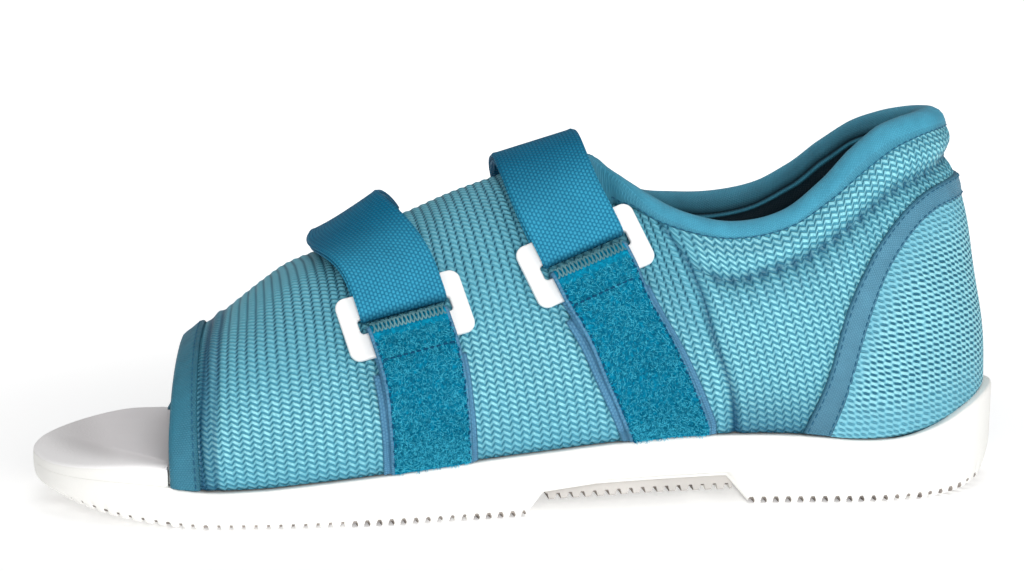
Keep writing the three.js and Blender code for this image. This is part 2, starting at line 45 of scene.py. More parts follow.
sideShift = (soleLow.y + soleHigh.y) * 500  # the frame is centred across, mm
print("frame loaded")

# Lengths below are millimetres, toe toward -X, rings on the -Y side, floor at z = 0.


def clamp(x):
    return np.clip(x, 0.0, 1.0)


def ease(x):
    t = clamp(x)
    return t * t * (3 - 2 * t)


def bell(x, width):
    return np.exp(-((x / width) ** 2))


def unit(a):
    return a / np.maximum(np.linalg.norm(a, axis=-1, keepdims=True), 1e-12)


def join(*parts, axis=0):
    return np.concatenate(parts, axis)


# vectors from values that are spread over the same grid
def vectors(*values):
    return np.stack(np.broadcast_arrays(*values), -1)


# distance walked along each line of points
def runLength(points):
    steps = np.linalg.norm(np.diff(points, axis=-2), axis=-1)
    return join(0 * steps[..., :1], np.cumsum(steps, axis=-1), axis=-1)


def resample(values, length, count):
    at = np.linspace(0, length[-1], count)
    return vectors(*(np.interp(at, length, column) for column in values.T))


# a near half with its far half, from the shared middle on or without both ends
def mirrored(half, last=None):
    return join(half, half[-2:last:-1] * [1, -1, 1])


# sum of bells, from (place, width, height) rows
def bells(x, rows):
    return sum(height * bell(x - place, width) for place, width, height in rows)


# quads between a row of points and the same row further on
def bridge(row, shift):
    return np.stack([row[:-1], row[1:], row[1:] + shift, row[:-1] + shift], -1)


def splineThrough(x, rows, flatEnd=()):
    x, rows = np.array(x, float), np.array(rows, float)
    step = np.diff(x)[:, None]
    slope = np.diff(rows, axis=0) / step
    inner = (step[1:] * slope[:-1] + step[:-1] * slope[1:]) / (step[1:] + step[:-1])
    m = np.vstack([slope[:1], inner, slope[-1:]])
    for k in flatEnd:
        m[-1, k] = 0

    def at(q):
        q = np.asarray(q, float)
        i = np.clip(np.searchsorted(x, q, "right") - 1, 0, len(x) - 2)
        h = x[i + 1] - x[i]
        t = (q - x[i]) / h
        weights = [(1 + 2 * t) * (1 - t) ** 2, t * (1 - t) ** 2 * h, t * t * (3 - 2 * t), t * t * (t - 1) * h]
        return sum(w[..., None] * r for w, r in zip(weights, (rows[i], m[i], rows[i + 1], m[i + 1])))

    return at


def profileThrough(rows):
    f = splineThrough([r[0] for r in rows], [[r[1]] for r in rows])
    return lambda x: f(x)[..., 0]


# Ribs from the sole edge to the ridge or topline: base, top, lower handle, upper handle.
ribs = np.array([
    [-101.2, 44.2, 11.75, -100.4, 0.0, 44.2, -0.6, 2.4, 21.5, -0.2, 27.0, -0.6],
    [-92.5, 45.8, 11.15, -91.6, 0.0, 50.6, -0.4, 2.6, 24.0, -0.2, 30.0, 0.0],
    [-80.0, 46.9, 11.3, -79.0, 0.0, 59.2, 0.0, 2.6, 27.0, -0.2, 32.0, 0.0],
    [-62.0, 47.6, 12.8, -60.0, 0.0, 67.1, 0.0, 2.2, 30.0, -0.2, 32.0, 0.0],
    [-43.5, 46.8, 14.5, -44.5, 0.0, 74.1, 0.0, 1.6, 33.0, 0.0, 29.5, -0.6],
    [-28.0, 44.8, 16.0, -30.0, 0.0, 80.5, 0.0, 1.2, 36.0, 0.0, 26.5, -1.0],
    [-12.0, 42.5, 17.4, -17.0, 0.0, 86.1, 0.0, 1.2, 38.0, 0.0, 24.0, -1.4],
    [4.0, 40.3, 18.6, -4.0, 0.0, 90.4, 0.0, 1.4, 38.0, 0.5, 22.5, -1.8],
    [18.0, 38.7, 19.7, 8.0, 0.0, 93.6, 0.0, 1.6, 37.0, 1.5, 21.0, -2.5],
    [29.0, 37.8, 20.4, 18.5, 0.0, 95.0, 0.0, 2.0, 35.0, 3.5, 19.0, -4.0],
    [38.0, 37.0, 20.9, 26.5, 15.0, 90.5, 0.0, 2.2, 33.0, 3.0, 11.0, -9.0],
    [47.0, 36.4, 21.1, 36.0, 25.5, 82.4, 0.0, 2.4, 30.0, 2.0, 6.0, -14.0],
    [57.0, 36.0, 21.0, 48.5, 30.5, 77.4, 0.5, 2.4, 28.0, 1.0, 4.0, -16.0],
    [68.0, 35.7, 20.6, 60.5, 31.8, 76.4, 0.5, 2.4, 28.0, 0.8, 3.5, -16.0],
    [79.0, 35.5, 19.8, 72.5, 31.2, 79.4, 0.5, 2.4, 29.0, 0.8, 3.5, -18.0],
    [90.0, 35.2, 18.5, 83.0, 29.0, 86.6, 1.0, 2.6, 32.0, 1.0, 3.5, -20.0],
    [101.0, 34.0, 18.1, 92.0, 26.4, 94.6, 1.5, 2.4, 34.0, 2.0, 3.5, -22.0],
    [111.6, 30.4, 18.1, 101.0, 23.2, 100.6, 2.0, 2.0, 34.0, 3.0, 3.5, -22.0],
    [120.7, 24.8, 18.1, 109.4, 18.6, 103.0, 2.2, 1.6, 34.0, 4.0, 3.0, -22.0],
    [127.8, 17.6, 18.1, 116.3, 13.0, 103.8, 2.0, 1.2, 34.0, 4.4, 2.5, -22.0],
    [132.2, 9.2, 18.1, 120.6, 6.6, 104.0, 1.4, 0.6, 34.0, 4.4, 1.2, -22.0],
    [133.8, 0.0, 18.1, 121.7, 0.0, 104.0, 1.0, 0.0, 34.0, 4.0, 0.0, -22.0],
])
shell = {"wall": 2.6, "collarRoll": 7.6, "rollRise": 3.4, "throatRib": 9}
walked = runLength(ribs[:, :3])
soleRun = walked[-1]
stations = walked / soleRun
throat = stations[shell["throatRib"]]
ribAt = splineThrough(stations, ribs, (0, 2, 3, 5, 6, 8, 9, 11))


def bareSkin(u, v):
    u, v = np.broadcast_arrays(np.asarray(u, float), np.asarray(v, float))
    r, side = ribAt(clamp(u)), np.where(v > 1, 1.0, -1.0)
    q = np.where(v > 1, 2 - v, v)[..., None]
    w = 1 - q
    base, top = r[..., 0:3], r[..., 3:6]
    p = w**3 * base + 3 * w * w * q * (base + r[..., 6:9]) + 3 * w * q * q * (top + r[..., 9:12]) + q**3 * top
    p[..., 1] *= side
    return p


def bareNormal(u, v):
    e = 1e-3
    u, v = np.broadcast_arrays(np.asarray(u, float), np.asarray(v, float))
    q = np.where(v > 1, np.maximum(v, 1 + e), np.minimum(v, 1 - e))
    n = unit(np.cross(bareSkin(u + e, q) - bareSkin(u - e, q),
                      bareSkin(u, q + e / 2) - bareSkin(u, q - e / 2)))
    onMiddle = ((v == 1) & (u <= throat)) | (u > 1 - e)
    return np.where(onMiddle[..., None], unit(n * [1, 0, 1]), n)


def skin(u, v, h=0.0):
    n = bareNormal(u, v)
    return bareSkin(u, v) + n * np.broadcast_to(h, n.shape[:-1])[..., None]


# changes of u and v that make one straight step on the surface
def solveStep(du, dv, direction):
    aa, ab, bb = (du * du).sum(-1), (du * dv).sum(-1), (dv * dv).sum(-1)
    f, g = (du * direction).sum(-1), (dv * direction).sum(-1)
    det = aa * bb - ab * ab
    return (f * bb - g * ab) / det, (g * aa - f * ab) / det


def slant(p):
    x, y, z = p[..., 0], p[..., 1], p[..., 2]
    front = ease((-58 - x) / 30) * (0.03 + 0.1 * ease((z - 8) / 22))
    low = (0.15 * bell(x - 98, 22) + 0.11 * bell(x - 34, 13)) * clamp((z - 60) / 25)
    return vectors(x + front * (y + 40), y, z - low * np.maximum(0, y + 6))


def roll(u):
    return ease((u - throat) / 0.075)


def thickness(u, v):
    q = np.where(v > 1, 2 - v, v)
    return shell["wall"] + (shell["collarRoll"] - shell["wall"]) * roll(u) * ease((q - 0.62) / 0.3)


def gridFaces(n, m, closeN=False, closeM=False):
    i, j = np.meshgrid(np.arange(n if closeN else n - 1), np.arange(m if closeM else m - 1), indexing="ij")
    ii, jj = (i + 1) % n, (j + 1) % m
    return np.stack([i * m + j, ii * m + j, ii * m + jj, i * m + jj], -1).reshape(-1, 4)


# one visible piece on the body; nodes are the solids that it stands for
def makePiece(name, slot, nodes, verts, faces, looks, cloth=None, tone=None, side=None, marks=None,
              sharp=None, weld=True):
    verts = np.asarray(verts, float).reshape(-1, 3)
    used, back = np.unique(join(*map(np.ravel, faces)), return_inverse=True)
    cuts = np.cumsum([np.size(f) for f in faces])[:-1]
    polygons = []
    for part, f in zip(np.split(back, cuts), faces):
        polygons += part.reshape(np.shape(f)).tolist() if np.ndim(f) == 2 else [part.tolist()]
    mesh = bpy.data.meshes.new(name)
    placed = (verts[used] + [0, sideShift, 0]) * 0.001
    mesh.from_pydata(placed.tolist(), [], polygons)
    for key, values in (("cloth", cloth), ("tone", tone), ("side", side)):
        if values is not None:
            layer = mesh.attributes.new(key, "FLOAT_VECTOR", "POINT")
            layer.data.foreach_set("vector", np.asarray(values, np.float32).reshape(-1, 3)[used].ravel())
    if marks is not None:
        mesh.polygons.foreach_set("material_index", np.asarray(marks, np.int32))
    for look in looks:
        mesh.materials.append(materials[look])
    bm = bmesh.new()
    bm.from_mesh(mesh)
    if weld:
        bmesh.ops.remove_doubles(bm, verts=bm.verts, dist=2e-6)
    bmesh.ops.dissolve_degenerate(bm, edges=bm.edges, dist=1e-7)
    bmesh.ops.recalc_face_normals(bm, faces=bm.faces)
    bm.to_mesh(mesh)
    bm.free()
    mesh.polygons.foreach_set("use_smooth", np.ones(len(mesh.polygons), bool))
    if sharp:
        mesh.set_sharp_from_angle(angle=math.radians(sharp))
    piece = bpy.data.objects.new(name, mesh)
    bpy.context.scene.collection.objects.link(piece)
    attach(piece, "root")
    if nodes:
        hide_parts(*nodes)
    return piece


# rings of a closed profile, (stations, profile, 3)
def sweep(points):
    n, m = points.shape[:2]
    return [gridFaces(n, m, closeM=True), np.arange(m), np.arange((n - 1) * m, n * m)]


# short thread capsules along a line
def stitchRow(name, slot, line, normals, size, look):
    length = runLength(line)
    count = max(1, int(length[-1] / size["pitch"]))
    rings, sides = 5, 6
    along = np.linspace(-1, 1, rings)
    taper = np.sqrt(np.maximum(0, 1 - along**4)) * 0.94 + 0.06
    verts, faces = [], []
    for k in range(count):
        mid = (k + 0.5) * size["pitch"]
        at = mid + along * size["long"] / 2
        p = vectors(*(np.interp(at, length, column) for column in line.T))
        n = unit(vectors(*(np.interp(at, length, column) for column in normals.T)))
        t = unit(np.gradient(p, axis=0))
        b = np.cross(t, n)
        arch = (1 - along**2) * size["arch"]
        angle = np.arange(sides) * 2 * math.pi / sides
        ring = p[:, None] + n[:, None] * arch[:, None, None] + taper[:, None, None] * size["radius"] * (
            n[:, None] * np.sin(angle)[None, :, None] + b[:, None] * np.cos(angle)[None, :, None])
        start = len(verts) * rings * sides
        verts.append(ring)
        for f in sweep(ring):
            faces.append(f + start)
    quads = join(*(f for f in faces if f.ndim == 2))
    ends = np.array([f for f in faces if f.ndim == 1])
    makePiece(name, slot, [], join(*verts), [quads, ends], [look], weld=False)


def colour(r, g, b):
    linear = [c / 255 / 12.92 if c <= 10.3 else ((c / 255 + 0.055) / 1.055) ** 2.4 for c in (r, g, b)]
    return (*linear, 1.0)


# a shader value that takes plain arithmetic
class Wire:
    def __init__(self, socket):
        self.socket, self.tree = socket, socket.id_data

    def calc(self, operation, *others):
        inputs = dict(enumerate((self, *others)))
        return Wire(addNode(self.tree, "Math", inputs, operation=operation).outputs[0])

    def __add__(self, other):
        return self.calc("ADD", other)

    def __sub__(self, other):
        return self.calc("SUBTRACT", other)

    def __mul__(self, other):
        return self.calc("MULTIPLY", other)

    def __truediv__(self, other):
        return self.calc("DIVIDE", other)

    def __pow__(self, other):
        return self.calc("POWER", other)

    def flip(self, top=1.0):
        return self * -1.0 + top

    # smooth step from low to high
    def ramp(self, low, high, toLow=0.0, toHigh=1.0):
        inputs = {"Value": self, "From Min": low, "From Max": high, "To Min": toLow, "To Max": toHigh}
        return Wire(addNode(self.tree, "MapRange", inputs, interpolation_type="SMOOTHSTEP").outputs["Result"])

    def split(self):
        return [Wire(part) for part in addNode(self.tree, "SeparateXYZ", {"Vector": self}).outputs]


def feed(socket, value):
    if isinstance(value, Wire):
        value.tree.links.new(value.socket, socket)
    else:
        socket.default_value = value


def addNode(tree, kind, inputs=None, **settings):
    made = tree.nodes.new("ShaderNode" + kind)
    for key, value in settings.items():
        setattr(made, key, value)
    for key, value in (inputs or {}).items():
        feed(made.inputs[key], value)
    return made


def blend(factor, first, second, mode="MIX"):
    tree = next(value.tree for value in (factor, first, second) if isinstance(value, Wire))
    made = addNode(tree, "Mix", data_type="RGBA", blend_type=mode)
    for k, value in ((0, factor), (6, first), (7, second)):
        feed(made.inputs[k], colour(*value) if isinstance(value, tuple) else value)
    return Wire(made.outputs[2])


def noiseAt(where, scale, detail=3.0, rough=0.55):
    inputs = {"Vector": where, "Scale": scale, "Detail": detail, "Roughness": rough}
    return Wire(addNode(where.tree, "TexNoise", inputs).outputs["Fac"])


def startGroup(name, inputs, outputs):
    tree = bpy.data.node_groups.new(name, "ShaderNodeTree")
    for key, value in inputs.items():
        kind = "NodeSocketVector" if value is None else "NodeSocketFloat"
        socket = tree.interface.new_socket(name=key, in_out="INPUT", socket_type=kind)
        if value is not None:
            socket.default_value = value
    for key in outputs:
        tree.interface.new_socket(name=key, in_out="OUTPUT", socket_type="NodeSocketFloat")
    return [Wire(given) for given in tree.nodes.new("NodeGroupInput").outputs if given.name]


def finishGroup(tree, **values):
    out = tree.nodes.new("NodeGroupOutput").inputs
    for key, value in values.items():
        feed(out[key], value)
    return tree


# rows of V stitches in upright wales
def knitGroup():
    given = {"Cloth": None, "Wale": 2.8, "Row": 1.76, "Swing": 0.27, "Waver": 0.12}
    cloth, wale, row, swing, waver = startGroup("knitStitches", given, ["Yarn", "Groove", "Height", "Stroke"])
    x, y, _ = cloth.split()
    waver = (noiseAt(cloth, 0.22) - 0.5) * waver
    s = x / wale + waver
    turn = s * (2 * math.pi)
    wave = turn.calc("SINE") + (turn * 2.0).calc("SINE") * -0.26
    t = y / row + wave * swing + waver * 1.7
    yarn = (t * (2 * math.pi)).calc("COSINE").ramp(-1.0, 0.5)
    stroke = turn.calc("COSINE").ramp(-0.6, 0.8)
    groove = (s * math.pi).calc("COSINE").calc("ABSOLUTE").ramp(0.05, 0.75)
    return finishGroup(cloth.tree, Stroke=stroke, Yarn=yarn, Groove=groove,
                       Height=yarn * 0.62 + groove * 0.38)


# staggered open mesh
def meshGroup():
    given = {"Cloth": None, "Across": 4.5, "Along": 1.7, "Lean": 0.08}
    cloth, across, along, lean = startGroup("openMesh", given, ["Yarn", "Height"])
    x, y, _ = cloth.split()
    waver = (noiseAt(cloth, 0.2) - 0.5) * 0.6
    a = (x / across + waver) * (2 * math.pi)
    b = ((x * lean + y) / along + waver) * (2 * math.pi)
    yarn = (a.calc("COSINE") * b.calc("COSINE") * 0.5 + 0.5).ramp(0.06, 0.76)
    return finishGroup(cloth.tree, Yarn=yarn, Height=yarn ** 0.7)


# woven tape: short floats in a twill
def weaveGroup():
    given = {"Cloth": None, "Across": 0.9, "Along": 1.3, "Twill": 0.5}
    cloth, across, along, twill = startGroup("wovenFloats", given, ["Float", "Height"])
    x, y, _ = cloth.split()
    x = x / across
    y = y / along + x.calc("FLOOR") * twill
    inLane, inFloat = ((q * math.pi).calc("SINE").calc("ABSOLUTE") for q in (x, y))
    height = inLane ** 0.6 * inFloat ** 0.7
    return finishGroup(cloth.tree, Float=height.ramp(0.15, 0.95), Height=height)


# slow uneven tone of dyed or handled stuff
def mottleGroup():
    cloth, size, amount = startGroup("mottle", {"Cloth": None, "Size": 14.0, "Amount": 0.3}, ["Tone"])
    return finishGroup(cloth.tree, Tone=(noiseAt(cloth, size ** -1.0, 4.0) - 0.5) * amount + 0.5)


groups = {"knit": knitGroup(), "mesh": meshGroup(), "weave": weaveGroup(), "mottle": mottleGroup()}


def startMaterial(name, rough, specular=0.5, **more):
    material = bpy.data.materials.new(name)
    material.use_nodes = True
    shader = material.node_tree.nodes["Principled BSDF"]
    for key, value in {"Roughness": rough, "Specular IOR Level": specular, **more}.items():
        shader.inputs[key.replace("_", " ")].default_value = value
    return material, material.node_tree, shader


def finishMaterial(material, shown, height, relief, rough=None):
    shader = material.node_tree.nodes["Principled BSDF"]
    feed(shader.inputs["Base Color"], shown)
    if rough:
        feed(shader.inputs["Roughness"], rough)
    bump = addNode(shown.tree, "Bump", {"Height": height, "Distance": relief, "Strength": 1.0})
    feed(shader.inputs["Normal"], Wire(bump.outputs["Normal"]))
    return material


def useGroup(name, cloth, **values):
    made = addNode(cloth.tree, "Group", node_tree=groups[name])
    for key, value in {"Cloth": cloth, **values}.items():
        feed(made.inputs[key], value)
    return [Wire(result) for result in made.outputs]


def readLayer(tree, name):
    return Wire(addNode(tree, "Attribute", attribute_name=name).outputs["Vector"])


def objectPlace(tree):
    return Wire(addNode(tree, "TexCoord").outputs["Object"])


def dyed(shown, cloth, share, low, **sizes):
    tone = useGroup("mottle", cloth, **sizes)[0]
    return blend(share, shown, blend(tone, low, (255, 255, 255)), "MULTIPLY")


knitLook = {"light": (164, 243, 253), "middle": (104, 190, 213), "dark": (66, 153, 179),
            "groove": (22, 94, 122), "shade": (14, 86, 120), "relief": 0.0005, "finer": 0.13}


def knitMaterial():
    material, tree, _ = startMaterial("knitFabric", 0.5, 0.3)
    across, up, down = readLayer(tree, "cloth").split()
    over, behind = (side.calc("GREATER_THAN", 0.0) for side in readLayer(tree, "side").split()[:2])
    rows = over * (down - up) + up
    across = across * (behind * knitLook["finer"] + 1.0)
    cloth = Wire(addNode(tree, "CombineXYZ", {"X": across, "Y": rows}).outputs[0])
    bright, shadow, waleShade = readLayer(tree, "tone").split()
    yarn, groove, height, stroke = useGroup("knit", cloth)
    glint = noiseAt(cloth, 0.9, 2.0).ramp(0.28, 0.72, 0.35, 1.4)
    # painted highlight on the yarn tops, raised or lowered by the painted light zones
    lit = yarn ** 1.5 * (stroke * 0.5 + 0.5) * glint
    lit = (lit * (bright * 1.1 + 0.12)).calc("MINIMUM", 1.0)
    level = (yarn + yarn.flip(0.7) * (waleShade * 0.6)).ramp(0.0, 0.8)
    shown = blend(lit, blend(level, knitLook["dark"], knitLook["middle"]), knitLook["light"])
    # painted shade in the grooves between the wales, deeper where the knit faces away from the light
    shown = blend(groove.flip() * waleShade * (yarn * -0.55 + 1.0), shown, knitLook["groove"])
    shown = blend(shadow, shown, knitLook["shade"])
    shown = dyed(shown, cloth, 0.5, (120, 130, 140))
    return finishMaterial(material, shown, height, knitLook["relief"], yarn * -0.18 + 0.62)


meshLook = {"light": (176, 248, 255), "middle": (104, 186, 207), "dark": (32, 112, 140),
            "calm": (116, 198, 220), "relief": 0.0004}


def counterMaterial():
    material, tree, _ = startMaterial("counterMesh", 0.5, 0.3)
    cloth = readLayer(tree, "cloth")
    yarn, height = useGroup("mesh", cloth)
    lit = yarn.ramp(0.45, 1.0) * noiseAt(cloth, 0.8, 2.0).ramp(0.25, 0.75, 0.6, 1.2)
    base = blend(yarn.ramp(0.0, 0.6), meshLook["dark"], meshLook["middle"])
    shown = blend(lit.calc("MINIMUM", 1.0), base, meshLook["light"])
    shown = blend(readLayer(tree, "tone").split()[0], shown, meshLook["calm"])
    shown = dyed(shown, cloth, 0.6, (110, 130, 150))
    return finishMaterial(material, shown, height, meshLook["relief"], yarn * -0.15 + 0.62)


# satin or grosgrain tape; the tone layer paints shade: its first value darkens what lies inside the shoe
# toward near black and darkens where less light falls, its second paints a darker teal shade
def tapeMaterial(name, light, dark, across=0.55, along=0.8, relief=0.00012, toned=False):
    material, tree, _ = startMaterial(name, 0.5, 0.3)
    cloth = readLayer(tree, "cloth")
    floats, height = useGroup("weave", cloth, Across=across, Along=along)
    shown = dyed(blend(floats * 0.35 + 0.35, dark, light), cloth, 0.5, (100, 116, 130), Size=7.0, Amount=1.1)
    if toned:
        lit, paintedShade, _ = readLayer(tree, "tone").split()
        # painted shade: near black where the first tone value is low, a darker teal where the second is high
        shown = blend(lit, (4, 24, 34), blend(paintedShade, shown, (20, 84, 112)))
    return finishMaterial(material, shown, height, relief)


webbingLook = {"light": (72, 184, 220), "shaded": (0, 118, 155), "gap": (28, 126, 164), "dark": (0, 98, 136),
               "paintedShade": (6, 58, 84), "across": 1.0, "along": 1.3, "relief": 0.00022}


def webbingMaterial():
    material, tree, _ = startMaterial("webbing", 0.62, 0.06)
    cloth = readLayer(tree, "cloth")
    lit, paintedShade, _ = readLayer(tree, "tone").split()
    floats, height = useGroup("weave", cloth, Across=webbingLook["across"], Along=webbingLook["along"])
    # painted light: tops lit or shaded by the first tone value, with a painted shadow beside the ring's slot
    # from the second
    top = blend(lit, webbingLook["shaded"], webbingLook["light"])
    low = blend(lit * 0.6, webbingLook["dark"], webbingLook["gap"])
    shown = blend(paintedShade, blend(floats * 0.62 + 0.2, low, top), webbingLook["paintedShade"])
    shown = dyed(shown, cloth, 0.55, (120, 135, 150), Size=12.0, Amount=0.8)
    return finishMaterial(material, shown, height, webbingLook["relief"], floats * -0.12 + 0.56)


pileLook = {"deep": (6, 112, 146), "middle": (12, 162, 200), "tip": (84, 206, 230), "relief": 0.0006}


def pileMaterial():
    material, tree, _ = startMaterial("pileLoops", 0.9, 0.05)
    tip, own, _ = readLayer(tree, "tone").split()
    clump = noiseAt(readLayer(tree, "cloth"), 0.9, 3.0, 0.7)
    amount = (clump + (own - 0.5) * 0.35).ramp(0.3, 0.72)
    # lighter toward the fibre tips: painted light on the tips over shaded roots
    shown = blend(tip * amount, blend(amount, pileLook["deep"], pileLook["middle"]), pileLook["tip"])
    return finishMaterial(material, shown, clump, pileLook["relief"])


# metres in the footbed's own frame
rimLook = {"white": (254, 252, 252), "grey": (238, 234, 235), "roundFrom": -0.095, "roundLong": 0.0435,
           "half": 0.0455, "widerFrom": -0.102, "wider": 1.3, "wide": 0.011, "tip": (-0.138, -0.115),
           "grain": 0.014, "relief": 0.0085}


# insole cover, white on a rounded rim that narrows from the tip of the toe to the toe opening, with painted
# grey shade further in where the upper shades it; the same mask raises a bump
def bedMaterial():
    material, tree, _ = startMaterial("insoleCover", 0.9, 0.1)
    where = objectPlace(tree)
    along, across, _ = where.split()
    rounded = (along.calc("MINIMUM", rimLook["roundFrom"]) - rimLook["roundFrom"]) / rimLook["roundLong"]
    half = (rounded * rounded).flip().calc("SQRT") * rimLook["half"]
    rim = along.flip(rimLook["widerFrom"]).calc("MAXIMUM", 0.0) * rimLook["wider"] + rimLook["wide"]
    # painted shade: grey inward from the rim toward the toe opening
    inward = ((half + across) / rim).ramp(0.0, 1.0) * along.ramp(*rimLook["tip"])
    cloudy = noiseAt(where, 60.0, 4.0).ramp(0.3, 0.7, -0.06, 0.06)
    amount = inward * readLayer(tree, "tone").split()[0] + cloudy
    grain = noiseAt(where, 1400, 2.0) * rimLook["grain"]
    shown = blend(amount, rimLook["white"], rimLook["grey"])
    return finishMaterial(material, shown, grain + inward, rimLook["relief"])


# moulded plastic, foam, thread or lining with a fine grain
def plainMaterial(name, base, other, rough, specular, grain, relief, **more):
    material, tree, _ = startMaterial(name, rough, specular, **more)
    where = objectPlace(tree)
    fine = noiseAt(where, grain, 2.0)
    shown = blend(noiseAt(where, 30.0, 4.0).ramp(0.3, 0.7), base, other)
    return finishMaterial(material, shown, fine, relief, fine * 0.12 + (rough - 0.06))


materials = {
    "knit": knitMaterial(), "counter": counterMaterial(), "webbing": webbingMaterial(),
    "pile": pileMaterial(), "bed": bedMaterial(),
    "binding": tapeMaterial("bindingTape", (92, 192, 222), (54, 150, 182), toned=True),
    "counterTape": tapeMaterial("counterTape", (108, 172, 198), (70, 136, 166), toned=True),
    "selvedge": tapeMaterial("selvedge", (106, 172, 206), (66, 128, 172), 0.9, 1.1, 0.0002),
}
for key, *look in (
        ("zigzag", "greyThread", (122, 166, 172), (58, 116, 130), 0.7, 0.2, 2500, 0.0001),
        ("deepThread", "deepThread", (10, 70, 104), (16, 84, 118), 0.8, 0.1, 2500, 0.0001),
        # nearly black: the lining's own dark colour with painted shade inside the shoe
        ("lining", "lining", (8, 26, 34), (12, 34, 44), 0.9, 0.1, 900, 0.0002),
        ("thread", "darkThread", (22, 86, 118), (32, 100, 132), 0.6, 0.3, 2500, 0.0001),
        ("sole", "mouldedFoam", (248, 247, 243), (243, 242, 238), 0.62, 0.3, 900, 0.00006),
        # painted shade in the tread notches
        ("groove", "treadGroove", (164, 156, 150), (112, 106, 102), 0.8, 0.1, 900, 0.0001),
        # painted shade on the arch pad's sides, set back under the arch
        ("pad", "archPad", (208, 204, 200), (190, 186, 182), 0.7, 0.2, 900, 0.00006)):
    materials[key] = plainMaterial(*look)
white, offWhite = (248, 248, 247), (243, 243, 242)
materials["ring"] = plainMaterial("whitePlastic", white, offWhite, 0.32, 0.5, 420, 0.00004, Coat_Weight=0.1)
print("materials made")

upperLook = {"toThroat": 182, "behind": 154, "levels": 54, "rimSteps": 5, "wale": 2.8, "waleHigh": 0.15,
             "creaseDeep": 1.7, "creaseWide": 3.2, "collarPuff": 1.5, "seamDeep": 0.9, "seamRidge": 0.45,
             "lean": 0.08, "pucker": 4.3, "puckerHigh": 0.32, "tuckIn": 1.0, "drift": 0.05, "closer": 0.13}
# (mm behind the toe edge, width, height or darkness)
toeFolds = [(9.6, 1.3, 0.35), (11.9, 1.0, -0.25), (7.6, 0.7, -0.3)]
toeShades = [(7.8, 1.0, 0.8), (9.7, 1.5, 0.6), (11.9, 0.8, 0.6)]
creaseAt = profileThrough([(0.5, 0.8), (0.6, 0.775), (0.632, 0.735), (0.659, 0.745), (0.69, 0.785),
        (0.745, 0.79), (0.79, 0.79), (0.84, 0.8), (0.9, 0.82), (0.95, 0.85), (1.0, 0.87)])
seamAt = profileThrough([(0, 0.625), (0.155, 0.621), (0.36, 0.611), (0.64, 0.609), (0.82, 0.601),
                         (0.92, 0.589), (1.0, 0.577)])


# height of the knit over the bare form, with its painted light and shade zones
def upperRelief(u, q, run, across):
    look, total, fromToe = upperLook, run[:, -1:], u * soleRun
    crease = (q - creaseAt(u)) * total
    seam = (u - seamAt(q)) * soleRun
    behind = ease((u - 0.6) / 0.03)
    ahead = 1 - behind
    inner = ease((fromToe - 6) / 4) * ease(run / 6)
    over = clamp((q - creaseAt(u)) / (1 - creaseAt(u)))
    wave = 2 * np.pi * fromToe / look["pucker"]
    h = look["waleHigh"] * np.cos(2 * np.pi * across / look["wale"]) * inner
    h = h - look["creaseDeep"] * bell(crease, look["creaseWide"]) * behind
    h = h + look["collarPuff"] * np.sin(np.pi * over) * behind * ease((u - 0.62) / 0.12)
    h = h + look["puckerHigh"] * np.sin(wave) * bell(crease + 5, 5) * behind * bell(u - 0.7, 0.09)
    h = h - look["seamDeep"] * bell(seam, 1.0) + look["seamRidge"] * bell(np.abs(seam) - 3.4, 2.2)
    uneven = 0.35 * np.sin(31 * u + 4 * q) * np.sin(8 * q + 9 * u) + 0.2 * np.sin(67 * u - 9 * q)
    h = h + bells(fromToe, toeFolds) + uneven * inner * ease((1 - q) * 6)
    h = h - look["tuckIn"] * clamp(1 - run / 2.2) ** 2
    # painted light, painted shade, and how dark the painted shade in the grooves between the wales is
    lit = ahead * (0.16 + 0.7 * bell(q - 0.22, 0.18))
    lit = lit + behind * (0.9 - 0.3 * bell(crease + 5, 8) + 0.1 * over)
    lit = lit * (0.4 + 0.6 * ease(run / (7 + 5 * behind)))
    waleShade = ahead * (0.3 + 0.7 * ease((q - 0.28) / 0.3)) + behind * (0.3 + 0.25 * bell(crease + 4, 7))
    pucker = 0.75 + 0.25 * np.sin(wave)
    shade = 0.85 * bell(crease, 2.3) * behind * pucker + 0.85 * bell(seam, 1.0) * (0.7 + 0.3 * pucker)
    below = 0.3 * bell(crease + 5, 4) * (2 * pucker - 1) * bell(u - 0.72, 0.1)
    shade = shade + 0.3 * bell(run, 1.8)
    shade = shade + behind * (0.5 * bell(run, 11) + below + 0.22 * bell(total - run - 3.5, 2))
    shade = shade + bells(fromToe, toeShades)
    return h, vectors(clamp(lit), clamp(shade), clamp(waleShade))


